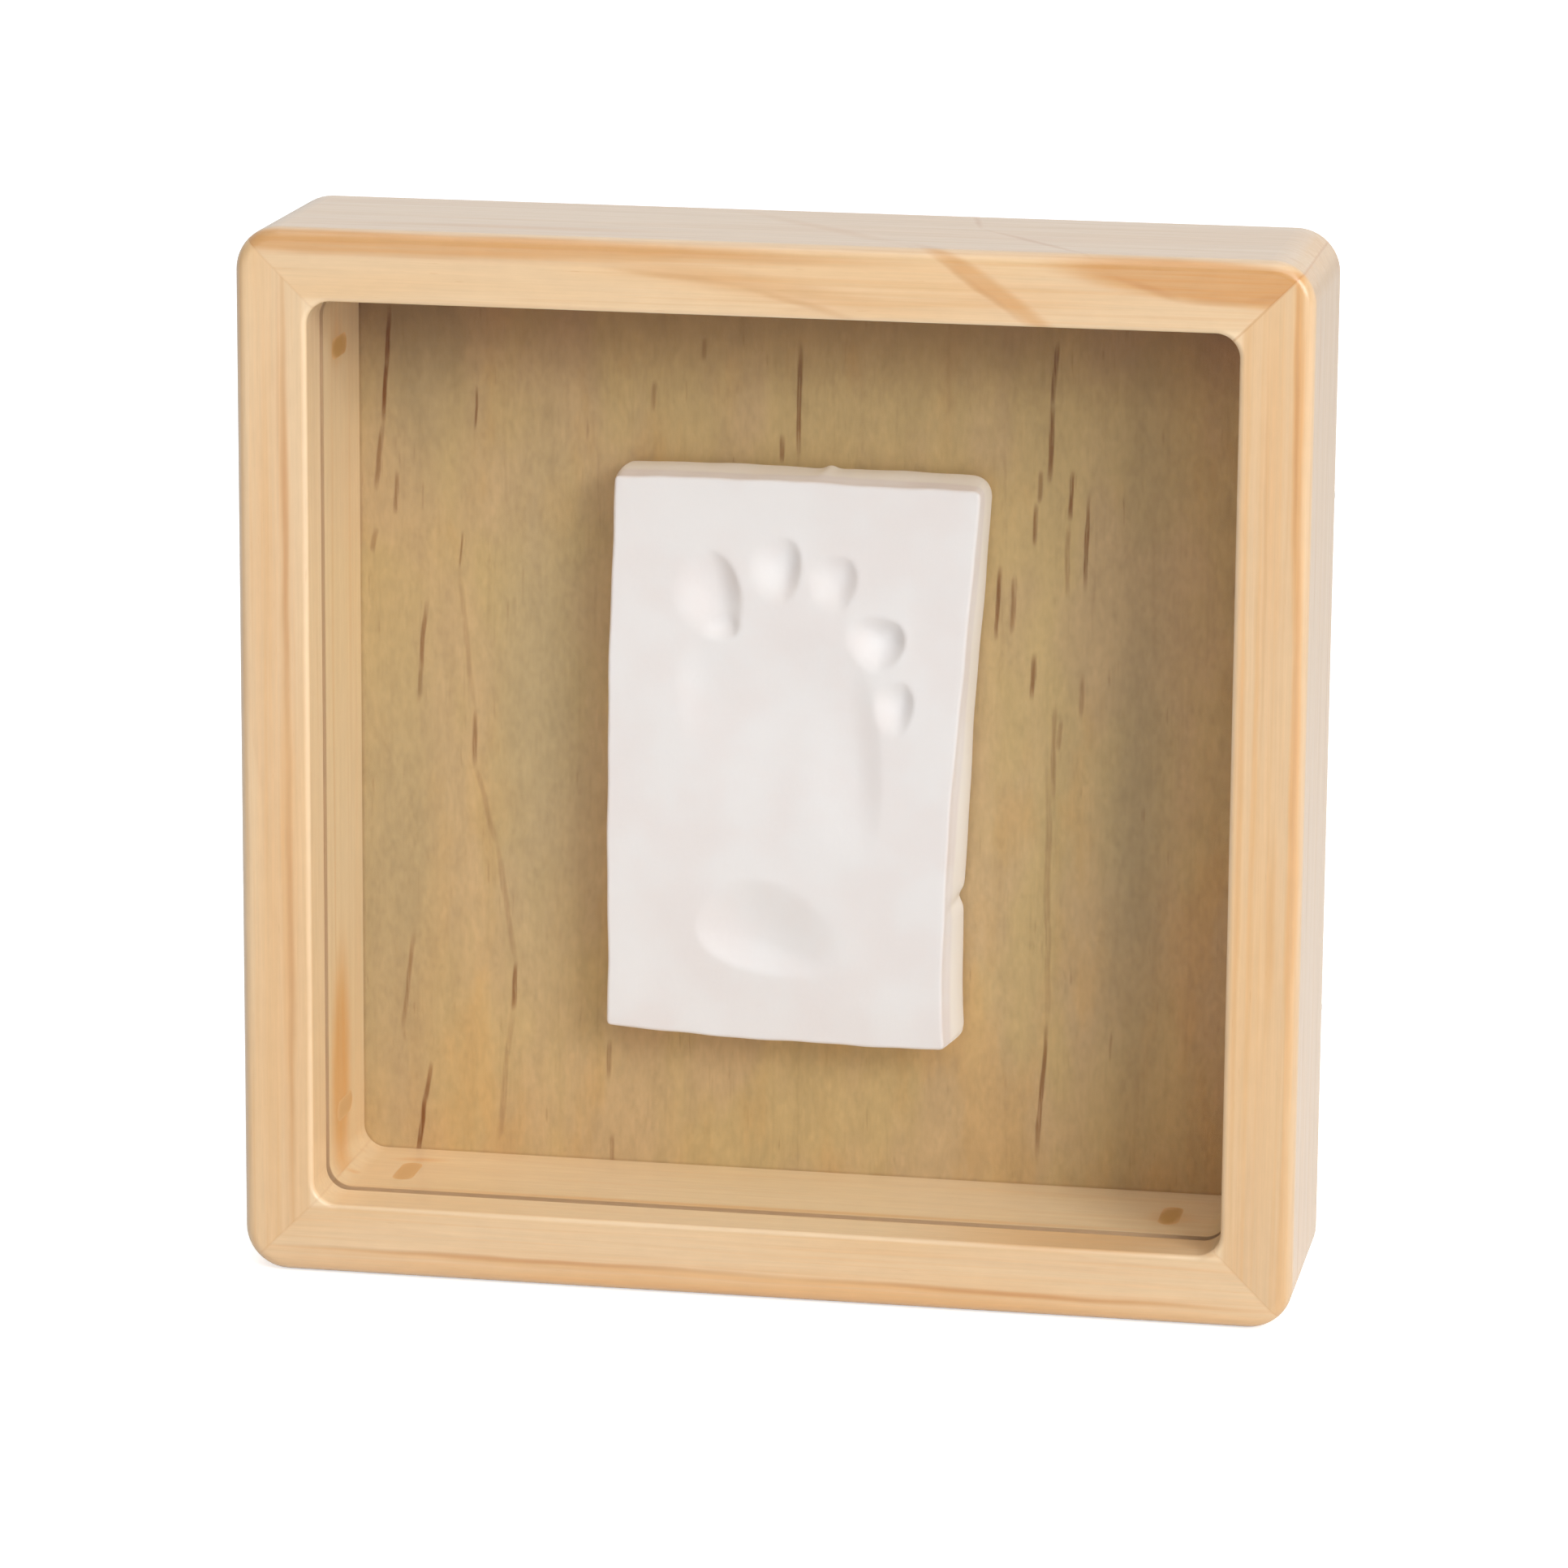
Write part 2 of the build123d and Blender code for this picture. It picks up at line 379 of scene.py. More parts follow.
@dataclass(frozen=True)
class Streak:
    """A dark line of resin or late wood in a face: a long thin ellipse between two points.

    Attributes:
        start: Where it starts, along the fibres and across them, in millimetres.
        end: Where it ends.
        level: How dark its middle is, 0 to 1.
        half: Half of its width in millimetres.
        flat: The share of its reach over which it keeps its full level.
    """

    start: Pair
    end: Pair
    level: float
    half: float = 0.7
    flat: float = 0.1

    # The ellipse's length as a share of the line's, and what is left of its width in an even streak.
    TAPER_SHARE = 1.15
    EVEN_SHARE = 0.72

    def lay(self, b: Bench, place: Socket, even: bool = False) -> Socket:
        """Lays the streak's nodes.

        A Mapping node carries the ellipse over to a circle of radius 1 round zero, and the level falls
        from the edge of the flat middle to nothing at the circle's rim. In an even streak both places
        are squared first, which makes the ellipse a rounded bar.

        Args:
            b: The material's bench.
            place: The place along and across the fibres.
            even: Whether it keeps its width for most of its length.

        Returns:
            How dark the streak is at a point, 0 to 1.
        """
        first, last = np.array(self.start), np.array(self.end)
        middle = (first + last) / 2.0
        reach = last - first
        half_long = float(np.hypot(*reach)) / 2.0 * self.TAPER_SHARE
        half_wide = self.half * self.EVEN_SHARE if even else self.half
        feeds = {
            "Vector": place,
            "Location": (float(middle[0]), float(middle[1]), 0.0),
            "Rotation": (0.0, 0.0, float(np.arctan2(reach[1], reach[0]))),
            "Scale": (half_long, half_wide, 1.0),
        }
        spot = b.put("ShaderNodeMapping", feeds, vector_type="TEXTURE").outputs[0]
        if even:
            spot = b.vector_math("MULTIPLY", spot, spot).outputs[0]
        away = b.vector_math("LENGTH", spot).outputs["Value"]
        return b.spread(away, self.flat, 1.0, self.level, 0.0, smooth=True)


def lay_streaks(b: Bench, streaks: Sequence[Streak], place: Socket, even: bool = False) -> Optional[Socket]:
    """Lays several streaks, the darker one showing where two cross.

    Args:
        b: The material's bench.
        streaks: The streaks.
        place: The place along and across the fibres.
        even: Whether they keep their width for most of their length.

    Returns:
        How dark they are at a point, or None if there are none.
    """
    marks: Optional[Socket] = None
    for streak in streaks:
        mark = streak.lay(b, place, even)
        marks = mark if marks is None else b.math("MAXIMUM", marks, mark)
    return marks


@dataclass(frozen=True)
class Finish(ABC):
    """A finish that pieces are dressed in.

    Attributes:
        name: Its material's name.
    """

    name: str

    @abstractmethod
    def lay(self, b: Bench) -> bpy.types.Material:
        """Lays the finish's nodes on a bench and ends its material."""

    def make(self) -> bpy.types.Material:
        """Makes the finish's material."""
        return self.lay(Bench(self.name))


@dataclass(frozen=True)
class Timber(Finish):
    """A planed softwood: faint growth rings, fibres, resin streaks and a thin satin finish.

    Attributes:
        run: The way the fibres run.
        pale: The early wood's colour.
        warm: The colour of broad warmer patches.
        dark: The late wood's colour.
        amber: The colour of its broad soft bands.
        heart: Where the tree's heart lies, across and in depth, in millimetres.
        ring_gap: The distance between growth rings in millimetres.
        ring_depth: How dark the rings are, 0 to 1.
        seed: A shift that makes each piece differ.
        slant: How much bands and streaks drift across for each millimetre of depth.
        ring_lean: How much the rings drift for each millimetre along the fibres.
        painted_sheen: How much paler and greyer its outer face is painted, 0 to 1, as a painted sheen of
            grazing light.
        bands: Its broad soft bands.
        streaks: Its darker lines.
        outer_streaks: The darker lines of its outer face, given along the fibres and in depth.
        patches: How much of the warm colour shows, 0 to 1.
        sheen: The mean roughness of its surface.
    """

    run: Run
    pale: Colour
    warm: Colour
    dark: Colour
    amber: Colour
    heart: Pair
    ring_gap: float
    ring_depth: float
    seed: float
    slant: float
    ring_lean: float = 0.01
    painted_sheen: float = 0.0
    bands: tuple[Streak, ...] = ()
    streaks: tuple[Streak, ...] = ()
    outer_streaks: tuple[Streak, ...] = ()
    patches: float = 0.6
    sheen: float = 0.46

    # The outer and inner faces: their places from the middle, the fade at their edges, and their colours of
    # painted light.
    OUTER_FACE = 84.0
    INNER_FACE = 73.7
    FACE_FADE = 0.6
    INNER_SHARE = 0.5
    # The painted sheen: the outer faces are painted paler and greyer in place of grazing light off the
    # backdrop.
    SHEEN_PAINT = paint(232, 212, 194)
    # Painted light: the walls of the opening are painted paler in place of light falling on them.
    INNER = paint(252, 226, 188)

    # The marks: how far the slow noise bends the rings, how far the quick one shifts every mark, how dark
    # a ring is at a share of its width, how strong the amber lines and the flecks are, and how far off the
    # outer face's streaks are put on the other faces.
    RING_BEND = 9.0
    WANDER = 0.9
    RING_STOPS = ((0.0, 0.12), (0.10, 0.0), (0.45, 0.10), (0.80, 0.62), (0.93, 1.0), (1.0, 0.12))
    LINE_SHARE = 0.24
    FLECK_SHARE = 0.22
    OUT_OF_REACH = 9.0

    # The mitre's seam: where its line starts and ends to fade, how dark it is, and along which stretch of
    # across and up together it darkens.
    SEAM_HALF = (0.10, 0.42)
    SEAM_SHARE = 0.36
    SEAM_LIT = (20.0, 150.0)

    # The painted shade in the pane's groove: its depth, its half width, its fade, and how far out and how
    # strongly it shows.
    GAP_MIDDLE = 10.6
    GAP_HALF = 0.55
    GAP_FADE = 0.2
    GAP_INSIDE = (79.0, 80.0)
    GAP_SHARE = 0.45
    GROOVE_SHADE_COLOUR = paint(168, 102, 50)

    # The height of the fibres' relief, in millimetres.
    RELIEF = 0.05

    def lay(self, b: Bench) -> bpy.types.Material:
        """Lays the wood's nodes.

        Fibres are noise stretched along the run. Over the wood's tones lie its marks, small flecks, a
        faint shade, the seam of the mitre and a painted shade in the pane's groove.

        Args:
            b: The material's bench.

        Returns:
            The material.
        """
        along, over = (b.across, b.up) if self.run is Run.LEVEL else (b.up, b.across)
        b.align(along, over)
        quick = b.noise(b.grain, (0.055, 0.30, 0.30), (self.seed, 7.7, 0.0), 1.0)
        fibre = b.noise(b.grain, (0.035, 1.5, 1.5), (self.seed, 0.0, 5.0), 3.0, 0.62)
        fine = b.noise(b.grain, (0.11, 6.0, 6.0), (0.0, self.seed, 0.0), 2.0, 0.6)
        fleck = b.noise(b.grain, (0.22, 2.6, 2.6), (self.seed, 9.0, 2.0), 1.0)
        cloud = b.noise(b.grain, (0.20, 0.42, 0.42), (self.seed, 6.0, 1.0), 3.0, 0.6)
        late = self.rings(b, quick)
        tone = self.marked(b, self.ground(b, late), quick, fibre)
        tone = b.mix(b.spread(fleck, 0.72, 0.82, 0.0, self.FLECK_SHARE), tone, self.dark)
        shade = b.total(b.spread(fibre, 0.25, 0.75, 0.950, 1.035), b.vary(fine, -0.018, 0.018))
        tone = b.dimmed(tone, b.total(shade, b.vary(cloud, -0.022, 0.022)))
        tone = b.mix(self.seam(b), tone, self.dark)
        # Painted shade: the pane's groove is darkened where shade falls between the lip and the liner.
        tone = b.mix(self.gap(b), tone, self.GROOVE_SHADE_COLOUR)
        height = b.minus(b.total(b.times(fibre, 0.55), b.times(fine, 0.30)), b.times(late, 0.20))
        return b.surface(
            Base_Color=tone,
            Roughness=b.vary(fibre, self.sheen + 0.07, self.sheen - 0.05),
            Normal=b.relief(height, self.RELIEF, 0.6),
            IOR=1.46,
            Coat_Weight=1.0,
            Coat_Roughness=0.24,
        )

    def rings(self, b: Bench, quick: Socket) -> Socket:
        """Lays the growth rings.

        They are the whole steps of the distance to the heart, bent by a slow noise and a quick one. Each
        darkens slowly and ends sharply, and a faint noise lets them come and go.

        Args:
            b: The material's bench.
            quick: The quick noise.

        Returns:
            How dark the late wood is at a point, 0 to 1.
        """
        slow = b.noise(b.grain, (0.012, 0.05, 0.05), (self.seed, 0.0, 3.1), 2.0, 0.45)
        faint = b.noise(b.grain, (0.006, 0.09, 0.09), (self.seed + 4.0, 1.0, 1.0), 1.0)
        bend = b.total(b.swing(slow, self.RING_BEND), b.swing(quick, self.WANDER))
        reach = b.span(b.minus(b.over, self.heart[0]), b.minus(b.depth, self.heart[1]))
        reach = b.math("MULTIPLY_ADD", b.along, self.ring_lean, b.total(reach, bend))
        ring = b.math("FRACT", b.math("DIVIDE", reach, self.ring_gap))
        return b.times(b.steps(ring, self.RING_STOPS), b.spread(faint, 0.38, 0.64, 0.25, 1.0))

    def ground(self, b: Bench, late: Socket) -> Socket:
        """Lays the wood's tones: warm patches, rings, fine amber lines, and painted light on its outer and
        inner faces.

        Args:
            b: The material's bench.
            late: How dark the late wood is.

        Returns:
            The colour.
        """
        broad = b.noise(b.grain, (0.010, 0.075, 0.075), (2.0, self.seed, 0.0))
        lines = b.noise(b.grain, (0.014, 0.85, 0.85), (self.seed, 3.0, 8.0), 2.0, 0.6)
        warmth = b.times(b.spread(broad, 0.38, 0.66, smooth=True), self.patches)
        tone = b.mix(warmth, self.pale, self.warm)
        tone = b.mix(b.times(late, self.ring_depth), tone, self.dark)
        tone = b.mix(b.spread(lines, 0.50, 0.68, 0.0, self.LINE_SHARE), tone, self.amber)
        # Painted sheen: the outer face is painted paler and greyer in place of grazing light.
        tone = b.mix(b.times(self.outside(b), self.painted_sheen), tone, self.SHEEN_PAINT)
        # Painted light: the walls of the opening are painted paler.
        inner_end = self.INNER_FACE + self.FACE_FADE
        inner = b.spread(self.out(b), self.INNER_FACE, inner_end, self.INNER_SHARE, 0.0)
        return b.mix(inner, tone, self.INNER)

    def outside(self, b: Bench) -> Socket:
        """Gives how surely a point lies on the outer face, 0 to 1."""
        return b.spread(b.bare(b.over), self.OUTER_FACE, self.OUTER_FACE + self.FACE_FADE)

    def marked(self, b: Bench, tone: Socket, quick: Socket, fibre: Socket) -> Socket:
        """Lays the bands and streaks over the tones, where the fibres take them up unevenly.

        The streaks of the outer face are read in depth, and are put out of reach on the other faces.

        Args:
            b: The material's bench.
            tone: The colour so far.
            quick: The quick noise, which lets them wander.
            fibre: The fibres.

        Returns:
            The colour.
        """
        wander = b.swing(quick, self.WANDER)
        side = b.math("MULTIPLY_ADD", b.depth, self.slant, b.total(b.over, wander))
        spot = b.vector(b.along, side, 0.0)
        lift = b.times(b.minus(1.0, self.outside(b)), self.OUT_OF_REACH)
        outer_spot = b.vector(b.along, b.total(b.depth, wander), lift)
        taken = b.spread(fibre, 0.30, 0.62, 0.72, 1.0)
        for streaks, place, colour in (
            (self.bands, spot, self.amber),
            (self.streaks, spot, self.dark),
            (self.outer_streaks, outer_spot, self.dark),
        ):
            marks = lay_streaks(b, streaks, place)
            if marks is not None:
                tone = b.mix(b.times(marks, taken), tone, colour)
        return tone

    def seam(self, b: Bench) -> Socket:
        """Lays the thin line of a mitre, where the places across and up are equally far out.

        It is darkest at the upper right.

        Args:
            b: The material's bench.

        Returns:
            How dark the seam is at a point, 0 to 1.
        """
        off = b.minus(b.bare(b.across), b.bare(b.up))
        line = b.spread(b.bare(off), *self.SEAM_HALF, self.SEAM_SHARE, 0.0, smooth=True)
        return b.times(line, b.spread(b.total(b.across, b.up), *self.SEAM_LIT, 0.35, 1.0))

    @staticmethod
    def out(b: Bench) -> Socket:
        """Gives how far out a point lies on the case's square: the larger of across and up, unsigned."""
        return b.math("MAXIMUM", b.bare(b.across), b.bare(b.up))

    def gap(self, b: Bench) -> Socket:
        """Lays a painted shade in the pane's groove: a band of depth, inside the groove's walls only.

        Args:
            b: The material's bench.

        Returns:
            How dark the painted shade is at a point, 0 to 1.
        """
        inside = b.spread(self.out(b), *self.GAP_INSIDE, self.GAP_SHARE, 0.0)
        off = b.bare(b.minus(b.depth, self.GAP_MIDDLE))
        return b.times(inside, b.spread(off, self.GAP_HALF, self.GAP_HALF + self.GAP_FADE, 1.0, 0.0))


@dataclass(frozen=True)
class Veneer(Finish):
    """A rotary-cut ply face: khaki, pink and ochre blotches, mottling, dark streaks, plies at its edge, and
    painted shadows.

    Attributes:
        khaki: The colour of most of the face.
        pink: The colour of its pinkish patches.
        ochre: The colour of its orange patches, more of them low down: partly the ply's own colour, partly
            painted bounce light.
        grey: The colour of its greyer, darker patches.
        dark: The streaks' colour.
        core: The colour of the core ply.
        clouds: Its greyer, darker patches.
        streaks: Its dark lines.
        front: The depth of the board's front face in millimetres.
        thickness: The board's thickness in millimetres.
        top_shade: The wood's brightness at its top, as a share: painted shade.
        low_shade: Its brightness at its foot, as a share: painted light.
        crown_shadow: What is left of its colour along its upper edge, besides that: the top rail's painted
            shadow.
        right: What is left of its colour along its right edge: the right rail's painted shadow.
    """

    khaki: Colour
    pink: Colour
    ochre: Colour
    grey: Colour
    dark: Colour
    core: Colour
    clouds: tuple[Streak, ...]
    streaks: tuple[Streak, ...]
    front: float = 34.8
    thickness: float = 2.4
    # The painted shade: a fall from foot to top, and the rails' painted shadows along the upper and right
    # edges.
    top_shade: float = 0.92
    low_shade: float = 1.01
    crown_shadow: Colour = (0.58, 0.47, 0.41, 1.0)
    right: Colour = (1.00, 0.91, 0.86, 1.0)

    # The case's opening: its half size, its corner radius, and how far inside it the painted contact shadow
    # fades.
    OPENING_HALF = 73.5
    OPENING_ROUND = 3.8
    RIM_INSIDE = (0.60, 0.10)
    RIM_SHARE = 0.22

    # Where the painted shadows of the top and right rails darken the upper and right edges, and how far up
    # and down the painted shade falls.
    CROWN_FROM = (52.0, 70.0)
    RIGHT_FROM = (45.0, 73.0)
    SHADE_HALF = 72.0

    # The plies: the rear one's shift, and where the core ends, as shares of the thickness from its middle.
    REAR_SHIFT = 23.0
    CORE_SHARES = (0.22, 0.26)

    # How much the ochre fades for each millimetre up, how far the streaks wander, and the relief's height.
    OCHRE_FALL = -0.0011
    WANDER = 1.1
    RELIEF = 0.06

    def lay(self, b: Bench) -> bpy.types.Material:
        """Lays the veneer's nodes.

        The rear ply is the front ply turned upside down and shifted, without the painted shadows along its
        edges. The core ply shows where the depth lies between the outer plies.

        Args:
            b: The material's bench.

        Returns:
            The material.
        """
        middle = self.front + self.thickness / 2.0
        rear = b.math("GREATER_THAN", b.depth, middle)
        front = b.minus(1.0, rear)
        upside = b.math("MULTIPLY_ADD", rear, -2.0, 1.0)
        b.align(b.times(b.up, upside), b.math("MULTIPLY_ADD", rear, self.REAR_SHIFT, b.across))
        mottle = b.noise(b.grain, (0.55, 1.1, 0.5), (5.0, 0.0, 0.0), 3.0, 0.62)
        line = b.noise(b.grain, (0.035, 0.95, 0.3), (1.0, 9.0, 0.0), 3.0, 0.6)
        wander = b.noise(b.grain, (0.10, 0.25, 0.1), (0.0, 0.0, 4.0))
        spot = b.vector(b.along, b.total(b.over, b.swing(wander, self.WANDER)), 0.0)
        tone = self.ground(b, line)
        clouds = lay_streaks(b, self.clouds, spot)
        if clouds is not None:
            tone = b.mix(clouds, tone, self.grey)
        marks = self.marks(b, spot)
        tone = b.mix(marks, tone, self.dark)
        # Painted contact shadow where the liner meets the board, on the front face only.
        tone = b.mix(b.times(self.rim(b), front), tone, self.dark)
        inside, outside = (self.thickness * share for share in self.CORE_SHARES)
        core = b.spread(b.bare(b.minus(b.depth, middle)), inside, outside, 1.0, 0.0)
        tone = b.dimmed(b.mix(core, tone, self.core), self.shade(b, mottle, line))
        # Painted shadows of the top and right rails, on the front face only.
        edges = ((b.up, self.CROWN_FROM, self.crown_shadow), (b.across, self.RIGHT_FROM, self.right))
        for place, reach, colour in edges:
            share = b.times(front, b.spread(place, *reach, smooth=True))
            tone = b.mix(share, tone, colour, "MULTIPLY")
        height = b.minus(b.total(mottle, b.times(line, 0.5)), marks)
        return b.surface(
            Base_Color=tone,
            Roughness=b.vary(mottle, 0.70, 0.58),
            Normal=b.relief(height, self.RELIEF, 0.6),
            IOR=1.40,
        )

    def ground(self, b: Bench, line: Socket) -> Socket:
        """Lays the face's tones: pinkish and orange patches from slow noises, the orange partly painted
        bounce light, and faint lines.

        Args:
            b: The material's bench.
            line: A noise stretched along the fibres.

        Returns:
            The colour.
        """
        pinkish = b.noise(b.grain, (0.030, 0.075, 0.02), (3.4, 1.2, 0.0))
        orange = b.noise(b.grain, (0.035, 0.11, 0.02), (7.1, 4.3, 0.0), 3.0, 0.55)
        # Partly painted bounce light: more ochre towards the foot, beside the bottom liner.
        orange = b.math("MULTIPLY_ADD", b.up, self.OCHRE_FALL, orange)
        tone = b.mix(b.spread(pinkish, 0.40, 0.62, 0.0, 0.7, smooth=True), self.khaki, self.pink)
        tone = b.mix(b.spread(orange, 0.50, 0.70, 0.0, 0.5, smooth=True), tone, self.ochre)
        return b.mix(b.spread(line, 0.60, 0.76, 0.0, 0.10), tone, self.dark)

    def marks(self, b: Bench, spot: Socket) -> Socket:
        """Lays the dark streaks and small specks, both broken up along the fibres.

        Args:
            b: The material's bench.
            spot: The place along and across the fibres.

        Returns:
            How dark they are at a point, 0 to 1.
        """
        speck = b.noise(b.grain, (0.16, 1.5, 0.3), (6.0, 3.0, 0.0), 1.0)
        thread = b.noise(b.grain, (0.16, 3.0, 0.5), (8.0, 2.0, 0.0), 2.0, 0.6)
        speck = b.spread(speck, 0.72, 0.82, 0.0, 0.25)
        streaks = lay_streaks(b, self.streaks, spot, even=True)
        marks = speck if streaks is None else b.math("MAXIMUM", streaks, speck)
        return b.times(marks, b.spread(thread, 0.32, 0.52, 0.60, 1.25))

    def rim(self, b: Bench) -> Socket:
        """Lays a painted contact shadow: a dark line where the liner meets the board, along the rounded
        square of the opening.

        With the square's half size less its corner radius taken from the places across and up, both
        without sign, the distance outside is the length of what is left, less that radius.

        Args:
            b: The material's bench.

        Returns:
            How dark the line is at a point, 0 to 1.
        """
        core = self.OPENING_HALF - self.OPENING_ROUND
        over, high = (b.math("MAXIMUM", b.minus(b.bare(place), core), 0.0) for place in (b.across, b.up))
        start, end = (self.OPENING_ROUND - inside for inside in self.RIM_INSIDE)
        return b.spread(b.span(over, high), start, end, 0.0, self.RIM_SHARE, smooth=True)

    def shade(self, b: Bench, mottle: Socket, line: Socket) -> Socket:
        """Lays the face's light and dark: blotches, mottling, lines, a slow flame, and a painted shade that
        falls to its top.

        The flame is a sine wave across the fibres, bent by a slow noise.

        Args:
            b: The material's bench.
            mottle: The mottling.
            line: A noise stretched along the fibres.

        Returns:
            The brightness, about 1.
        """
        blotch = b.noise(b.grain, (0.22, 0.42, 0.1), (0.0, 2.0, 0.0), 3.0, 0.6, 0.3)
        bend = b.noise(b.grain, (0.016, 0.05, 0.1), (2.0, 5.0, 0.0), 1.0)
        shade = b.total(b.vary(blotch, 0.94, 1.06), b.spread(mottle, 0.25, 0.75, -0.08, 0.08))
        shade = b.total(shade, b.vary(line, 0.015, -0.015))
        flame = b.math("SINE", b.math("MULTIPLY_ADD", bend, 16.0, b.times(b.over, 0.62)))
        shade = b.math("MULTIPLY_ADD", flame, 0.022, shade)
        # Painted shade and light: darker towards the top, where the top rail shades the board, a little
        # brighter at the foot.
        fall = b.spread(b.up, -self.SHADE_HALF, self.SHADE_HALF, self.low_shade, self.top_shade)
        return b.times(shade, fall)


@dataclass(frozen=True)
class DriedClay(Finish):
    """Air-dried modelling clay: chalky, faintly mottled, with fine pores.

    Attributes:
        body: Its colour.
        cloud: The colour of its faint clouds.
        side: The colour of its cut sides, painted paler as painted light on the sides and top that the recess
            shades.
        side_from: The depth where the sides start, in millimetres.
    """

    body: Colour
    cloud: Colour
    side: Colour
    side_from: float = 27.3

    # The depth over which the front's colour passes into the sides' paler painted light, and the height of
    # the relief.
    SIDE_FADE = 1.0
    RELIEF = 0.10

    def lay(self, b: Bench) -> bpy.types.Material:
        """Lays the clay's nodes: slow clouds in the colour, paler painted light on the sides, and a relief of
        soft lumps and fine pores.

        Args:
            b: The material's bench.

        Returns:
            The material.
        """
        clouds = b.cloud(0.09, 3.0)
        lumps = b.cloud(0.55)
        grit = b.cloud(5.0, 3.0, 0.6)
        tone = b.mix(b.spread(clouds, 0.35, 0.68, smooth=True), self.body, self.cloud)
        # Painted light: the sides and top are painted paler than the front, where the recess shades them.
        tone = b.mix(b.spread(b.depth, self.side_from, self.side_from + self.SIDE_FADE), tone, self.side)
        return b.surface(
            Base_Color=tone,
            Roughness=b.vary(grit, 0.72, 0.86),
            Normal=b.relief(b.total(b.times(lumps, 0.8), b.times(grit, 0.20)), self.RELIEF, 0.6),
            IOR=1.42,
        )


@dataclass(frozen=True)
class ClearSheet(Finish):
    """A clear sheet: it lets everything through and mirrors a little, more at a grazing look.

    Attributes:
        tint: What of the light comes through.
        mirror: The share of light that it mirrors when looked at squarely.
    """

    tint: Colour
    mirror: float = 0.008

    # What the mirror gains at the most grazing look, and the power that keeps it low before that.
    GRAZING_SHARE = 0.9
    GRAZING_POWER = 5.0

    def lay(self, b: Bench) -> bpy.types.Material:
        """Lays the sheet's nodes: a see-through shader and a mirror, whose share grows at a grazing look.

        The share is the mirror's own, plus GRAZING_SHARE times the turn away to the power GRAZING_POWER.

        Args:
            b: The material's bench.

        Returns:
            The material.
        """
        clear = b.put("ShaderNodeBsdfTransparent", {"Color": self.tint})
        haze = b.vary(b.cloud(0.4, 3.0, 0.6), 0.03, 0.07)
        wave = b.relief(b.cloud(0.02, 1.0), 0.05, 0.3)
        gloss = b.put("ShaderNodeBsdfAnisotropic", {"Roughness": haze, "Normal": wave})
        facing = b.put("ShaderNodeLayerWeight", {"Blend": 0.5}).outputs["Facing"]
        grazing = b.math("POWER", facing, self.GRAZING_POWER)
        share = b.math("MULTIPLY_ADD", grazing, self.GRAZING_SHARE, self.mirror)
        both = b.put("ShaderNodeMixShader", {0: share, 1: clear.outputs[0], 2: gloss.outputs[0]})
        return b.close(both.outputs[0])


@dataclass(frozen=True)
class Steel(Finish):
    """Sheet or wire steel with a metal coat: faint scratches and small dull clouds.

    Attributes:
        coat: Its colour.
        sheen: The mean roughness.
        brushed: How many scratches cross a millimetre.
    """

    coat: Colour
    sheen: float
    brushed: float

    # The dull colour's brightness as a share of the coat's, and the height of the scratches' relief.
    DULL_SHARE = 0.6
    RELIEF = 0.02

    def lay(self, b: Bench) -> bpy.types.Material:
        """Lays the metal's nodes: clouds in colour and gloss, and a relief of stretched scratches.

        Args:
            b: The material's bench.

        Returns:
            The material.
        """
        clouds = b.cloud(0.35, 3.0, 0.6)
        scratch = b.noise(b.place, (0.6, self.brushed, self.brushed), detail=2.0, rough=0.7)
        sheen = b.vary(clouds, self.sheen - 0.06, self.sheen + 0.10)
        return b.surface(
            Base_Color=b.mix(b.vary(clouds, 0.0, 0.35), self.coat, darker(self.coat, self.DULL_SHARE)),
            Metallic=1.0,
            Roughness=b.total(sheen, b.vary(scratch, -0.04, 0.05)),
            Normal=b.relief(scratch, self.RELIEF, 0.5),
        )


@dataclass(frozen=True)
class SoftFoam(Finish):
    """The closed-cell foam of the adhesive pads.

    Attributes:
        body: Its colour.
    """

    body: Colour

    # The cells in a millimetre, where a cell's middle ends and its wall starts, the brightness of the dark
    # colour as a share, and the height of the relief.
    CELLS = 2.2
    WALLS = (0.1, 0.7)
    DEEP_SHARE = 0.5
    RELIEF = 0.12

    def lay(self, b: Bench) -> bpy.types.Material:
        """Lays the foam's nodes: small round cells, CELLS to a millimetre, in colour and relief.

        Args:
            b: The material's bench.

        Returns:
            The material.
        """
        cells = b.put("ShaderNodeTexVoronoi", {"Vector": b.place, "Scale": self.CELLS}).outputs["Distance"]
        deep = b.spread(cells, *self.WALLS, 0.0, 0.3)
        return b.surface(
            Base_Color=b.mix(deep, self.body, darker(self.body, self.DEEP_SHARE)),
            Roughness=b.spread(cells, *self.WALLS, 0.80, 0.92),
            Normal=b.relief(cells, self.RELIEF, 0.6),
        )


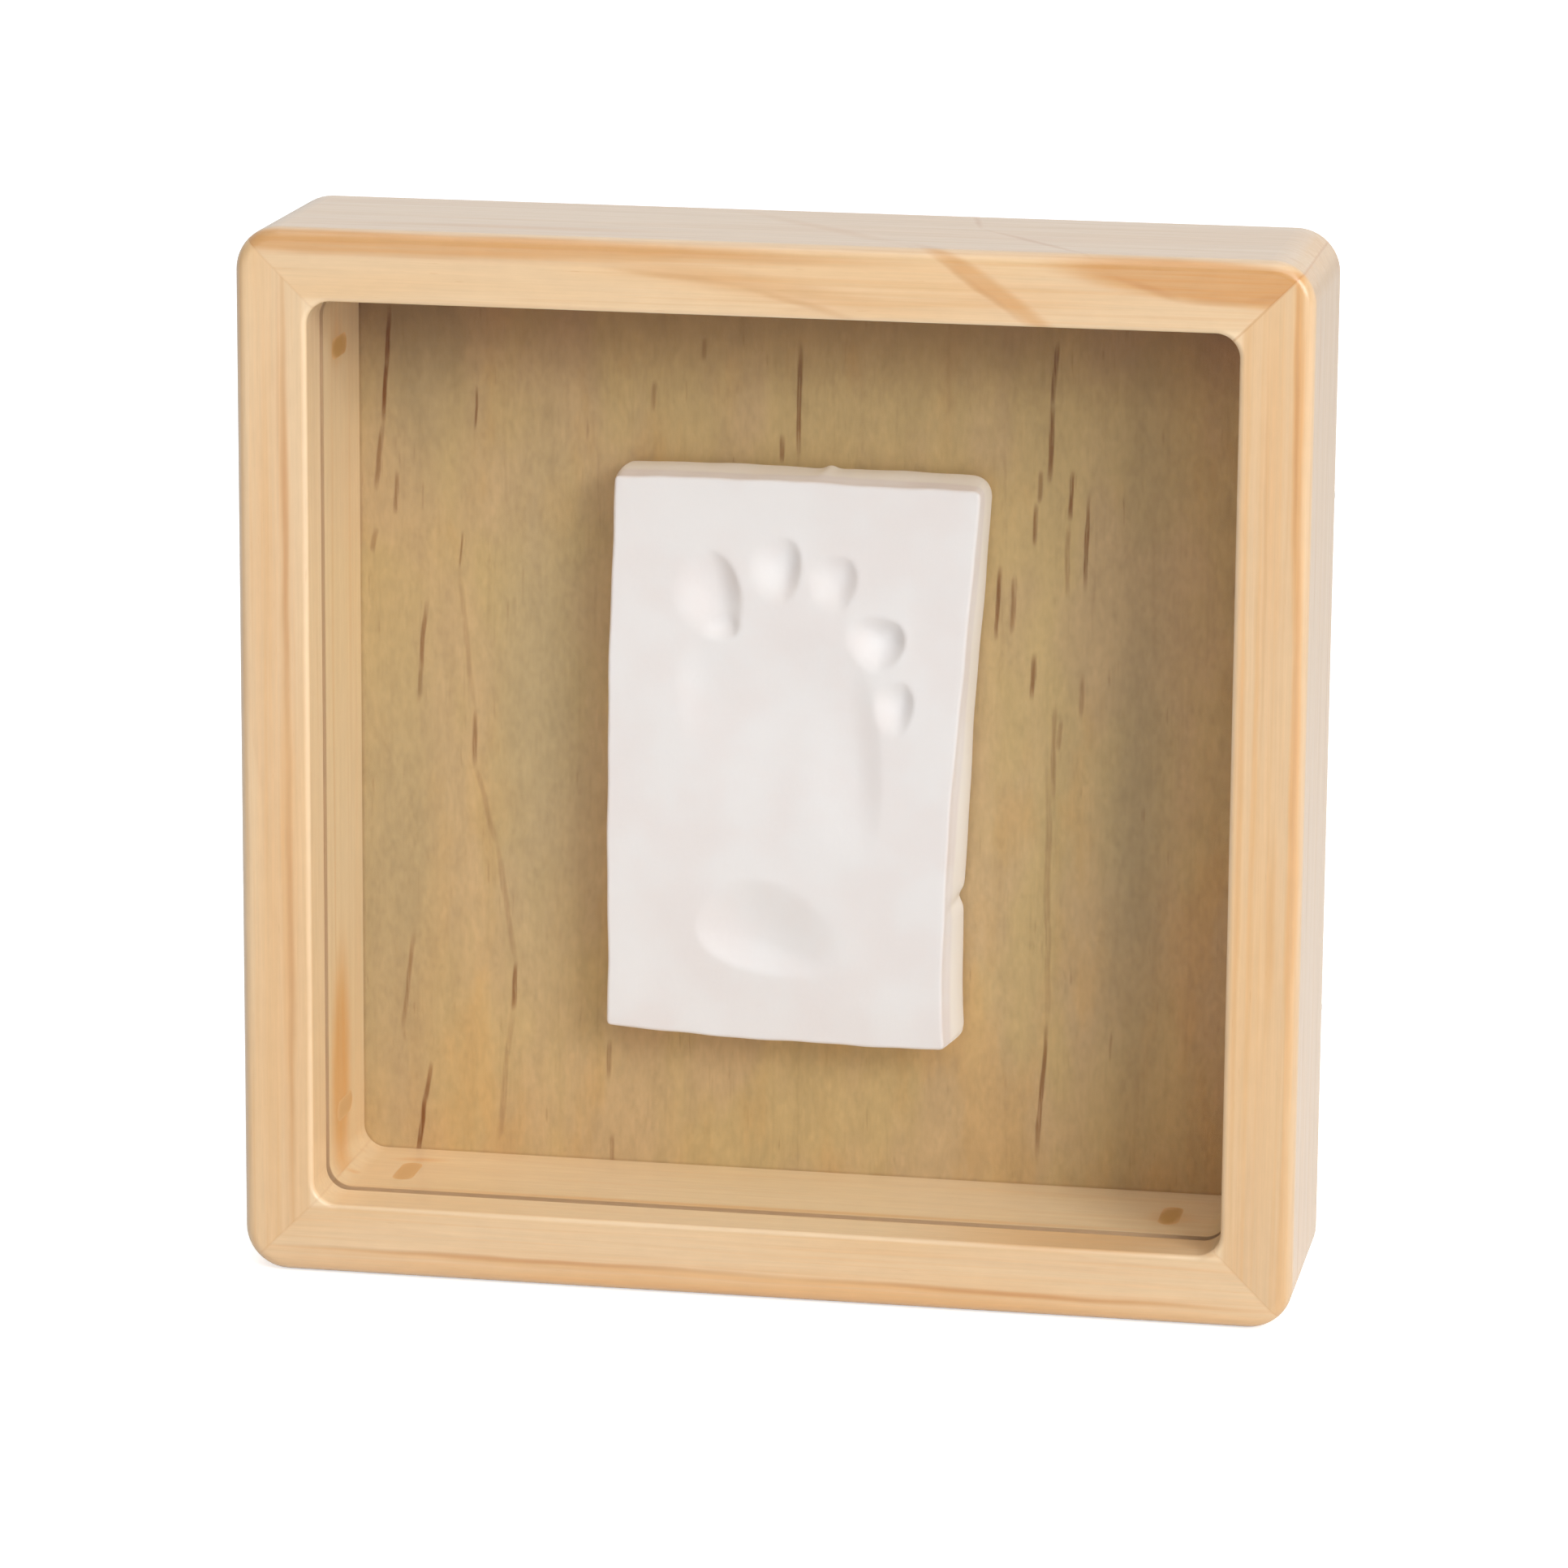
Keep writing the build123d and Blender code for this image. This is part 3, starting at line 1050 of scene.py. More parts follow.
@dataclass(frozen=True)
class Filler(Finish):
    """Wood filler rubbed over a nail hole: an ochre middle that fades into the wood round it.

    Attributes:
        wood: The colour of the wood round it.
        middle: The colour of its middle.
        from_middle: How far each spot lies from the middle of its wall, in millimetres.
        depth: The spots' depth in millimetres.
        half_long: Half of a spot's length, which runs in depth.
        half_wide: Half of its width.
        low_share: How much of the ochre shows in the lower left corner.
    """

    wood: Colour
    middle: Colour
    from_middle: float = 63.0
    depth: float = 21.6
    half_long: float = 6.2
    half_wide: float = 2.3
    low_share: float = 0.45

    # How ragged a spot's edge is, and the height of the relief.
    SMEAR = 0.8
    RELIEF = 0.05

    # Where the ochre grows from the lower left corner's share to its full strength, by across and up added.
    LOW_CORNER = (-100.0, -40.0)

    def lay(self, b: Bench) -> bpy.types.Material:
        """Lays the filler's nodes.

        A spot's own place along its wall is the smaller one of the places across and up, without sign.
        The ochre fades over the distance from the spot's middle as a share of its half sizes.

        Args:
            b: The material's bench.

        Returns:
            The material.
        """
        blotch = b.noise(b.place, (0.45, 0.22, 0.45), detail=3.0, rough=0.6)
        grains = b.cloud(4.0, 2.0, 0.6)
        along = b.math("MINIMUM", b.bare(b.across), b.bare(b.up))
        wide = b.math("DIVIDE", b.minus(along, self.from_middle), self.half_wide)
        deep = b.math("DIVIDE", b.minus(b.depth, self.depth), self.half_long)
        off = b.total(b.swing(blotch, self.SMEAR), b.span(wide, deep))
        low = b.spread(b.total(b.across, b.up), *self.LOW_CORNER, self.low_share, 1.0)
        share = b.times(b.spread(off, 0.40, 1.25, 1.0, 0.0, smooth=True), low)
        return b.surface(
            Base_Color=b.mix(share, self.wood, self.middle),
            Roughness=b.vary(grains, 0.52, 0.64),
            Normal=b.relief(grains, self.RELIEF, 0.5),
        )


@dataclass(frozen=True)
class PaleFloor(Finish):
    """The floor's plain paint, which glows to the camera only.

    Attributes:
        glow: How strongly it glows.
    """

    glow: float

    def lay(self, b: Bench) -> bpy.types.Material:
        """Lays the floor's nodes: nearly white with faint wide clouds, and the glow on camera rays.

        Args:
            b: The material's bench.

        Returns:
            The material.
        """
        seen = b.put("ShaderNodeLightPath", {}).outputs["Is Camera Ray"]
        return b.surface(
            Base_Color=b.mix(b.vary(b.cloud(0.01), 0.0, 1.0), paint(250, 250, 250), paint(247, 247, 247)),
            Roughness=0.9,
            Emission_Color=WHITE,
            Emission_Strength=b.times(seen, self.glow),
        )


def dress(node: str, material: bpy.types.Material) -> None:
    """Gives a carried-over CAD node its material.

    Args:
        node: The node's name.
        material: The material.
    """
    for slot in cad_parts[node].material_slots:
        slot.material = material
    log.info("dressed %s in %s", node, material.name)


def mesh_piece(
    name: str,
    points: np.ndarray,
    faces: np.ndarray,
    caps: Sequence[Sequence[int]] = (),
) -> bpy.types.Object:
    """Makes a smooth-shaded mesh object at the origin from points on the case's own axes.

    Args:
        name: The object's name.
        points: Points as rows of across, depth and up in millimetres.
        faces: Rows of four point numbers.
        caps: Further faces of any number of points.

    Returns:
        The object, linked to the scene.
    """
    places = np.column_stack([points[:, 0] * MM, points[:, 1] * MM + FRONT_Y, points[:, 2] * MM + MIDDLE_Z])
    mesh = bpy.data.meshes.new(name)
    mesh.from_pydata(places.tolist(), [], faces.tolist() + [list(cap) for cap in caps])
    mesh.polygons.foreach_set("use_smooth", np.ones(len(mesh.polygons), dtype=bool))
    mesh.update()
    return place_in_scene(name, mesh)


def quads(numbers: np.ndarray) -> np.ndarray:
    """Joins a grid of point numbers to faces of four.

    Args:
        numbers: Point numbers, row by row.

    Returns:
        Rows of four point numbers.
    """
    corners = (numbers[:-1, :-1], numbers[:-1, 1:], numbers[1:, 1:], numbers[1:, :-1])
    return np.stack(corners, axis=-1).reshape(-1, 4)


@dataclass(frozen=True)
class Press:
    """One rounded hollow that a toe, the ball or the heel leaves in the clay.

    Attributes:
        across: Its deepest place, across.
        up: Its deepest place, up.
        right: How far its wall reaches to the right of it.
        left: How far it reaches to the left.
        above: How far it reaches up.
        below: How far it reaches down.
        sink: How deep it is, in millimetres.
        turn: How far it leans clockwise, in degrees.
        wall: How softly its wall ends towards the upper right: 1 ends in an edge, more ends level.
        soft: How softly its wall ends towards the lower left.
    """

    across: float
    up: float
    right: float
    left: float
    above: float
    below: float
    sink: float
    turn: float
    wall: float
    soft: float = 2.2

    # The way to the upper right, and the rim: its height as a share of the sink, its place and its reach.
    UPPER_RIGHT = (0.8, 0.6)
    RIM_SHARE = 0.04
    RIM_AT = 1.12
    RIM_REACH = 0.18

    def polar(self, across: np.ndarray, up: np.ndarray) -> tuple[np.ndarray, np.ndarray]:
        """Works out how far and which way places lie from the deepest place.

        Args:
            across: Places across, in millimetres.
            up: Places up, in millimetres.

        Returns:
            Distances as shares of the hollow's reach on that side, 1 at the rim, and how much each place
            lies towards the upper right: 1 straight that way and 0 the opposite way.
        """
        angle = np.radians(self.turn)
        dx, dz = across - self.across, up - self.up
        p = dx * np.cos(angle) - dz * np.sin(angle)
        q = dx * np.sin(angle) + dz * np.cos(angle)
        p = p / np.where(p > 0.0, self.right, self.left)
        q = q / np.where(q > 0.0, self.above, self.below)
        away = np.hypot(p, q)
        along, high = self.UPPER_RIGHT
        return away, 0.5 + 0.5 * (along * p + high * q) / np.maximum(away, 1e-6)

    def hollow(self, across: np.ndarray, up: np.ndarray) -> np.ndarray:
        """Works out the hollow's depth: sink * (1 - r^2)^w, and none past r = 1.

        r and the lean towards the upper right come from polar(). The power w runs from soft to wall with
        the square of the lean.

        Args:
            across: Places across, in millimetres.
            up: Places up, in millimetres.

        Returns:
            Depths in millimetres, of the same shape.
        """
        away, lean = self.polar(across, up)
        power = self.soft + (self.wall - self.soft) * lean**2
        return self.sink * np.clip(1.0 - away**2, 0.0, None) ** power

    def rim(self, across: np.ndarray, up: np.ndarray) -> np.ndarray:
        """Works out the low rim of clay at the upper right: a bell over r round RIM_AT, times the lean.

        Args:
            across: Places across, in millimetres.
            up: Places up, in millimetres.

        Returns:
            Heights in millimetres, of the same shape.
        """
        away, lean = self.polar(across, up)
        bell = np.exp(-(((away - self.RIM_AT) / self.RIM_REACH) ** 2))
        return self.RIM_SHARE * self.sink * lean**3 * bell


@dataclass(frozen=True)
class Edge:
    """How one edge of the tile's outline departs from a straight line.

    Attributes:
        bow: How far its fullest place stands out, in millimetres, or stands in where negative.
        skew: The power that moves the fullest place: 1 leaves it in the middle, less moves it to the start.
        nick: Where it has a small nick or bump, as a share of its length.
        nick_height: How far that stands out.
        nick_reach: How far it reaches, as a share of the length.
    """

    bow: float
    skew: float = 1.0
    nick: float = 0.5
    nick_height: float = 0.0
    nick_reach: float = 0.02


@dataclass(frozen=True)
class Outline:
    """One outline of the tile: four wavy edges between round corners, from the lower left, anticlockwise.

    Attributes:
        corners: Its corners, across and up.
        rounds: The radius of each corner.
        edges: How each edge departs from a straight line.
        seed: A shift of the edges' small waves.
    """

    corners: tuple[Pair, Pair, Pair, Pair]
    rounds: tuple[float, float, float, float]
    edges: tuple[Edge, Edge, Edge, Edge]
    seed: float

    # How the seed grows from edge to edge, the small waves, and how fast they rise from an edge's ends.
    SEED_STEP = 1.3
    WAVES = ((0.10, 7.0, 1.0), (0.07, 17.0, 2.0), (0.04, 41.0, 3.0))
    WAVE_RISE = 3.0

    def edge(self, number: int, share: np.ndarray) -> np.ndarray:
        """Works out one edge: a chord, bowed by a half sine wave, with three small waves and a nick.

        The waves, each given by its height, its pace and how far the seed shifts it, fade towards the
        ends. Near both ends the edge turns in on an eighth of a circle, so that two meet in a round corner.

        Args:
            number: The edge's number.
            share: Places along it, 0 to 1.

        Returns:
            Points as rows of across and up.
        """
        edge, after = self.edges[number], (number + 1) % 4
        seed = self.seed + self.SEED_STEP * number
        start, end = np.array(self.corners[number]), np.array(self.corners[after])
        length = float(np.hypot(*(end - start)))
        way = (end - start) / length
        out = np.array([way[1], -way[0]])
        swell = np.clip(self.WAVE_RISE * np.sin(np.pi * share), 0.0, 1.0)
        waves = sum(height * np.sin(pace * share + shift * seed) for height, pace, shift in self.WAVES)
        nick = edge.nick_height * np.exp(-(((share - edge.nick) / edge.nick_reach) ** 2))
        stand = edge.bow * np.sin(np.pi * share**edge.skew) + waves * swell + nick
        run = share * length
        near = np.minimum(run, length - run)
        radius = np.where(run < length / 2.0, self.rounds[number], self.rounds[after])
        turn = np.radians(45.0) * np.clip(1.0 - near / radius, 0.0, 1.0)
        pulled = np.where(near < radius, radius * (1.0 - np.sin(turn)) - near, 0.0)
        run = run + np.where(run < length / 2.0, pulled, -pulled)
        stand = stand - radius * (1.0 - np.cos(turn))
        return start + run[:, None] * way + stand[:, None] * out

    def sides(self, u: np.ndarray, v: np.ndarray) -> tuple[np.ndarray, np.ndarray, np.ndarray, np.ndarray]:
        """Works out the four edges.

        Args:
            u: Shares across.
            v: Shares up.

        Returns:
            The bottom edge from the left, the right edge from below, the top edge from the left and the
            left edge from below.
        """
        top, left = self.edge(2, 1.0 - u[::-1]), self.edge(3, 1.0 - v[::-1])
        return self.edge(0, u), self.edge(1, v), top[::-1], left[::-1]


@dataclass
class ClayTile:
    """The hand-cut slab of clay with a baby's footprint pressed into it.

    Its front is a patch between four wavy edges, lowered by the footprint. Its sides run from the front
    outline to the wider rear outline. Its back is drawn together in rings. Sizes are in millimetres.

    Attributes:
        front: The depth of its front face.
        thickness: Its thickness.
        front_outline: The outline of its front.
        rear_outline: The outline of its back.
        edge_round: The radius of its front edge.
        pitch: The distance between points of its front.
        belly: How far its sides stand out half way down, and the height of the waves on them.
        levels: Pairs of how far down the sides a ring lies, as a share, and how far it is drawn in.
        back_shares: The sizes of the rings on its back, as shares.
        presses: The hollows of the footprint.
    """

    front: float = 25.0
    thickness: float = 9.0
    front_outline: Outline = Outline(
        corners=((-30.5, -47.8), (25.5, -49.1), (30.1, 42.9), (-29.2, 43.2)),
        rounds=(0.9, 1.2, 1.4, 0.9),
        edges=(Edge(0.65), Edge(-1.6, 0.60), Edge(0.30), Edge(0.55, 0.65)),
        seed=0.4,
    )
    rear_outline: Outline = Outline(
        corners=((-30.4, -48.3), (27.6, -48.2), (30.8, 43.9), (-28.9, 44.1)),
        rounds=(0.9, 2.0, 3.4, 1.2),
        edges=(Edge(0.2), Edge(-1.4, 0.55, 0.25, -0.8, 0.014), Edge(0.35, 1.0, 0.44, 0.60, 0.018), Edge(0.2)),
        seed=5.2,
    )
    edge_round: float = 0.8
    pitch: float = 0.42
    belly: Pair = (0.25, 0.16)
    levels: tuple[Pair, ...] = (
        (0.10, 0.0),
        (0.25, 0.0),
        (0.42, 0.0),
        (0.60, 0.0),
        (0.78, 0.0),
        (0.92, 0.05),
        (0.97, 0.18),
        (1.0, 0.5),
    )
    back_shares: tuple[float, ...] = (0.88, 0.66, 0.42, 0.18)
    presses: tuple[Press, ...] = (
        Press(-12.6, 24.6, 4.1, 7.4, 7.3, 8.0, 1.8, -14.0, 1.0),  # The big toe.
        Press(-11.2, 19.4, 2.6, 4.6, 2.8, 2.8, 1.2, -10.0, 1.1),  # The foot of the big toe.
        Press(-1.9, 29.0, 3.1, 5.8, 5.3, 6.2, 1.6, 3.0, 1.0),  # The second toe.
        Press(7.3, 27.4, 3.0, 5.6, 4.3, 5.8, 1.25, 8.0, 1.1),  # The third toe.
        Press(14.5, 17.6, 3.5, 6.6, 4.2, 5.4, 2.0, 22.0, 1.0),  # The fourth toe.
        Press(17.1, 7.4, 2.5, 4.4, 4.2, 5.6, 1.3, 5.0, 1.1),  # The little toe.
        Press(-14.0, 8.6, 11.0, 5.4, 9.5, 10.5, 0.60, 0.0, 1.6, 1.8),  # The ball under the big toe.
        Press(9.8, -2.4, 4.9, 12.0, 20.5, 17.0, 0.75, -5.0, 1.5, 1.8),  # The outer edge of the sole.
        Press(-3.0, 5.0, 17.0, 15.6, 15.5, 26.0, 0.58, 0.0, 1.1, 1.8),  # The middle of the sole.
        Press(-6.5, -32.0, 15.0, 9.5, 10.3, 5.4, 1.7, 12.0, 1.9, 1.2),  # The heel.
    )

    # The front: the rows of points round its edge, the distance from there to its full sway, the power of
    # the soft maximum that joins the hollows, and how fast the rims fade with depth.
    ROUND_POINTS = 6
    SWAY_FROM = 6.0
    JOIN_POWER = 3.0
    RIM_FADE = 2.0

    # The sides: how early they flare out, the waves round them, and how far these shift on the way down.
    FLARE_POWER = 0.8
    BELLY_WAVES = 9.0
    BELLY_TWIST = 3.0

    def shares(self, length: float) -> np.ndarray:
        """Works out places along a side, close together near both ends, where the edge is round.

        Args:
            length: The side's length in millimetres.

        Returns:
            Shares of the length, rising from 0 to 1.
        """
        turns = np.linspace(0.0, np.pi / 2.0, self.ROUND_POINTS + 1)[:-1]
        close = self.edge_round * (1.0 - np.cos(turns))
        count = int((length - 2.0 * self.edge_round) / self.pitch)
        middle = np.linspace(self.edge_round, length - self.edge_round, count)
        return np.concatenate([close, middle, length - close[::-1]]) / length

    def sunk(self, across: np.ndarray, up: np.ndarray) -> np.ndarray:
        """Works out how deep the footprint lies: the hollows joined by a soft maximum, less their rims.

        The soft maximum is the cube root of the sum of the cubes. The rims fade out where it is deep.

        Args:
            across: Places across, in millimetres.
            up: Places up, in millimetres.

        Returns:
            Depths in millimetres.
        """
        hollows = np.stack([press.hollow(across, up) for press in self.presses])
        joined = (hollows**self.JOIN_POWER).sum(axis=0) ** (1.0 / self.JOIN_POWER)
        rims = np.stack([press.rim(across, up) for press in self.presses]).sum(axis=0)
        return joined - rims * np.exp(-joined * self.RIM_FADE)

    @staticmethod
    def sway(across: np.ndarray, up: np.ndarray) -> np.ndarray:
        """Works out how uneven a hand-rolled face is: a slow wave of 0.10 mm and a quicker one of 0.05 mm.

        Args:
            across: Places across, in millimetres.
            up: Places up, in millimetres.

        Returns:
            Depths in millimetres, about zero.
        """
        slow = 0.10 * np.sin(across * 0.11 + 0.6) * np.cos(up * 0.07)
        return slow + 0.05 * np.sin(up * 0.21 + across * 0.13)

    def face(self, u: np.ndarray, v: np.ndarray, wide: float, high: float) -> np.ndarray:
        """Works out the front.

        The point at shares u, v is the Coons patch of the four edges: the two blends between facing
        edges, added, less the blend of the corners. Its depth is the front's depth, plus the round of the
        edge as a quarter circle over the distance from the outline, plus the footprint, plus the sway,
        which grows with the square of that distance up to SWAY_FROM.

        Args:
            u: Shares across.
            v: Shares up.
            wide: The front's width in millimetres.
            high: Its height.

        Returns:
            Points as rows and columns of across, depth and up.
        """
        bottom, right, top, left = self.front_outline.sides(u, v)
        uu, vv = np.meshgrid(u, v)
        blend_up = (1.0 - vv)[..., None] * bottom[None] + vv[..., None] * top[None]
        blend_over = (1.0 - uu)[..., None] * left[:, None] + uu[..., None] * right[:, None]
        corner = (
            ((1.0 - uu) * (1.0 - vv))[..., None] * bottom[0]
            + (uu * (1.0 - vv))[..., None] * bottom[-1]
            + ((1.0 - uu) * vv)[..., None] * top[0]
            + (uu * vv)[..., None] * top[-1]
        )
        flat = blend_up + blend_over - corner
        across, up = flat[..., 0], flat[..., 1]
        from_edge = np.minimum(np.minimum(uu, 1.0 - uu) * wide, np.minimum(vv, 1.0 - vv) * high)
        round_in = np.clip(1.0 - from_edge / self.edge_round, 0.0, 1.0)
        fall = self.edge_round * (1.0 - np.sqrt(1.0 - round_in**2))
        uneven = self.sway(across, up) * np.clip(from_edge / self.SWAY_FROM, 0.0, 1.0) ** 2
        return np.stack([across, self.front + fall + self.sunk(across, up) + uneven, up], axis=-1)

    def skirt(self, start: np.ndarray, end: np.ndarray) -> list[np.ndarray]:
        """Works out the rings of the sides and the back.

        A ring at level t lies between the front ring and the rear outline, with t to the power
        FLARE_POWER of the way out and t of the way down. It stands out by a belly, a half sine wave over t
        with BELLY_WAVES waves round it. The rings of the back are the last one drawn together.

        Args:
            start: The front's outermost points, as rows of across, depth and up.
            end: The rear outline's points, as rows of across and up.

        Returns:
            The rings, each as rows of across, depth and up.
        """
        middle = end.mean(axis=0)
        outward = (end - middle) / np.linalg.norm(end - middle, axis=1)[:, None]
        around = np.linspace(0.0, 2.0 * np.pi, len(start), endpoint=False)
        full, wave = self.belly
        rings = []
        for level, drawn_in in self.levels:
            ease, swell = level**self.FLARE_POWER, np.sin(np.pi * level)
            belly = wave * np.sin(self.BELLY_WAVES * around + self.BELLY_TWIST * level) * swell + full * swell
            flat = start[:, [0, 2]] * (1.0 - ease) + end * ease + outward * (belly - drawn_in)[:, None]
            deep = start[:, 1] * (1.0 - level) + (self.front + self.thickness) * level
            rings.append(np.column_stack([flat[:, 0], deep, flat[:, 1]]))
        last = rings[-1]
        centre = last.mean(axis=0)
        return rings + [centre + (last - centre) * share for share in self.back_shares]

    def build(self) -> bpy.types.Object:
        """Builds the closed slab: the front's grid, the rings of its sides and back, and a middle point.

        Returns:
            The tile.
        """
        left_low, right_low, right_high, _ = self.front_outline.corners
        wide, high = right_low[0] - left_low[0], right_high[1] - right_low[1]
        u, v = self.shares(wide), self.shares(high)
        face = self.face(u, v, wide, high)
        numbers = np.arange(len(v) * len(u)).reshape(len(v), len(u))
        rim = np.concatenate([numbers[0, :-1], numbers[:-1, -1], numbers[-1, :0:-1], numbers[:0:-1, 0]])
        points = face.reshape(-1, 3)
        bottom, right, top, left = self.rear_outline.sides(u, v)
        end = np.concatenate([bottom[:-1], right[:-1], top[:0:-1], left[:0:-1]])
        rings = self.skirt(points[rim], end)
        centre = rings[len(self.levels) - 1].mean(axis=0)
        ring_numbers = len(points) + np.arange(len(rings) * len(rim)).reshape(len(rings), len(rim))
        closed = np.vstack([rim, ring_numbers])
        closed = np.hstack([closed, closed[:, :1]])
        points = np.concatenate([points] + rings + [centre[None]])
        pole, inner = len(points) - 1, ring_numbers[-1]
        fan = [[int(after), int(number), pole] for after, number in zip(np.roll(inner, -1), inner)]
        faces = np.concatenate([quads(numbers), quads(closed)[:, ::-1]])
        return mesh_piece("footprint_tile", points, faces, fan)


PINE_PALE = paint(235, 202, 159)
PINE_WARM = paint(233, 189, 134)
PINE_DARK = paint(198, 134, 72)
PINE_AMBER = paint(226, 170, 106)
TOP_AMBER = paint(213, 154, 89)
RIGHT_PALE = paint(228, 192, 147)
LINER_PALE = paint(254, 228, 190)
LINER_WARM = paint(252, 219, 170)
LINER_DARK = paint(204, 138, 74)
LINER_AMBER = paint(238, 174, 100)

Marks = dict[Side, tuple[Streak, ...]]


@dataclass
class Case:
    """The square case of four mitred rails and the liner strips inside it.

    Attributes:
        top_slant: How much the top rail's marks drift across for each millimetre of depth.
        slant: The same for the other rails.
        hearts: Where the heart of each rail's tree lies, across and in depth.
        rail_bands: The rails' broad soft bands.
        rail_streaks: The rails' darker lines.
        outer_streaks: The darker lines on the rails' outer faces.
        liner_bands: The liner strips' broad soft bands.
    """

    top_slant: float = 0.55
    slant: float = 0.03
    hearts: dict[Side, Pair] = field(
        default_factory=lambda: {
            Side.TOP: (34.0, 118.0),
            Side.BOTTOM: (-150.0, -60.0),
            Side.LEFT: (-30.0, 140.0),
            Side.RIGHT: (150.0, 90.0),
        }
    )
    rail_bands: Marks = field(
        default_factory=lambda: {
            Side.TOP: (
                Streak((-140.0, 83.5), (20.0, 82.9), 0.80, 2.4, 0.5),
                Streak((-28.0, 82.0), (22.0, 75.6), 0.42, 2.6),
                Streak((21.0, 88.6), (48.0, 70.6), 0.70, 1.9, 0.3),
                Streak((44.0, 83.5), (102.0, 79.0), 1.00, 4.2, 0.6),
                Streak((49.0, 84.4), (70.0, 78.4), 0.70, 1.8, 0.3),
                Streak((-76.0, 89.8), (-8.0, 90.0), 0.45, 1.6),
                Streak((-14.0, 106.0), (26.0, 84.6), 0.30, 1.8),
            ),
            Side.BOTTOM: (
                Streak((-110.0, -83.2), (110.0, -83.9), 0.60, 2.6),
                Streak((-100.0, -81.1), (100.0, -82.0), 0.60, 1.3),
                Streak((22.0, -73.3), (82.0, -73.2), 0.60, 1.1),
            ),
            Side.LEFT: (
                Streak((-40.0, -80.0), (96.0, -80.4), 0.42, 3.8),
                Streak((-96.0, -79.8), (10.0, -80.2), 0.22, 3.2),
                Streak((-100.0, -77.0), (100.0, -77.5), 0.50, 1.7),
            ),
            Side.RIGHT: (
                Streak((-60.0, 83.5), (60.0, 83.4), 0.70, 1.1, 0.4),
                Streak((10.0, 83.3), (110.0, 82.4), 0.90, 1.2, 0.4),
                Streak((-110.0, 83.0), (-40.0, 83.4), 0.40, 1.1, 0.4),
                Streak((-72.0, 77.1), (86.0, 77.4), 0.50, 0.8),
                Streak((-38.0, 80.2), (0.0, 80.5), 0.60, 1.0),
                Streak((-86.0, 75.0), (86.0, 75.0), 0.60, 0.7),
                Streak((10.0, 78.8), (90.0, 79.4), 0.40, 2.6),
            ),
        }
    )
    rail_streaks: Marks = field(
        default_factory=lambda: {
            Side.TOP: (
                Streak((-110.0, 81.7), (-4.0, 80.8), 0.20, 0.9),
                Streak((-28.0, 80.9), (0.0, 78.0), 0.34, 0.8),
                Streak((-6.0, 78.7), (16.0, 73.2), 0.34, 0.8),
                Streak((24.0, 85.4), (42.0, 73.0), 0.36, 0.8),
                Streak((53.0, 82.2), (66.0, 78.0), 0.42, 0.9),
                Streak((62.0, 78.6), (76.0, 78.0), 0.32, 0.8),
                Streak((72.0, 77.9), (84.0, 80.4), 0.32, 1.0),
                Streak((51.0, 84.6), (29.0, 98.6), 0.45, 0.8),
                Streak((30.0, 97.4), (26.0, 107.0), 0.40, 0.8),
            ),
            Side.BOTTOM: (
                Streak((-88.0, -80.7), (14.0, -80.9), 0.62, 0.70),
                Streak((-6.0, -80.9), (88.0, -82.0), 0.62, 0.75),
                Streak((20.0, -76.6), (72.0, -76.9), 0.14, 0.7),
            ),
            Side.LEFT: (
                Streak((-88.0, -76.7), (24.0, -76.9), 0.50, 0.85),
                Streak((-16.0, -76.9), (90.0, -77.4), 0.58, 0.85),
                Streak((30.0, -78.0), (86.0, -78.3), 0.20, 0.5),
            ),
            Side.RIGHT: (
                Streak((-40.0, 83.5), (60.0, 83.3), 0.34, 0.7),
                Streak((30.0, 83.1), (92.0, 82.2), 0.52, 0.6),
                Streak((0.0, 78.4), (86.0, 77.8), 0.22, 0.45),
            ),
        }
    )
    outer_streaks: Marks = field(
        default_factory=lambda: {
            Side.RIGHT: (
                Streak((56.0, 8.8), (82.0, 8.4), 0.55, 0.7),
                Streak((20.0, 8.7), (50.0, 8.9), 0.40, 0.7),
                Streak((-26.0, 8.8), (8.0, 8.6), 0.50, 0.8),
                Streak((-50.0, 8.4), (-32.0, 8.7), 0.45, 0.7),
                Streak((-84.0, 8.2), (-64.0, 8.4), 0.50, 0.8),
                Streak((-16.0, 31.0), (42.0, 32.0), 0.40, 0.9),
            ),
        }
    )
    liner_bands: Marks = field(
        default_factory=lambda: {
            Side.LEFT: (
                Streak((-80.0, -55.0), (-32.0, -53.4), 1.00, 8.4, 0.3),
                Streak((58.5, -53.6), (69.0, -53.4), 0.40, 6.0),
                Streak((-80.0, -57.4), (84.0, -57.0), 0.30, 0.9),
                Streak((-20.0, -46.0), (80.0, -45.4), 0.25, 1.4),
            ),
            Side.BOTTOM: (
                Streak((58.6, -52.8), (68.0, -52.6), 0.40, 6.0),
                Streak((-84.0, -61.6), (84.0, -61.0), 0.60, 1.7),
                Streak((-68.0, -45.4), (-57.0, -44.6), 0.50, 2.0),
                Streak((-72.8, -55.0), (-70.0, -54.4), 0.50, 1.4),
            ),
        }
    )

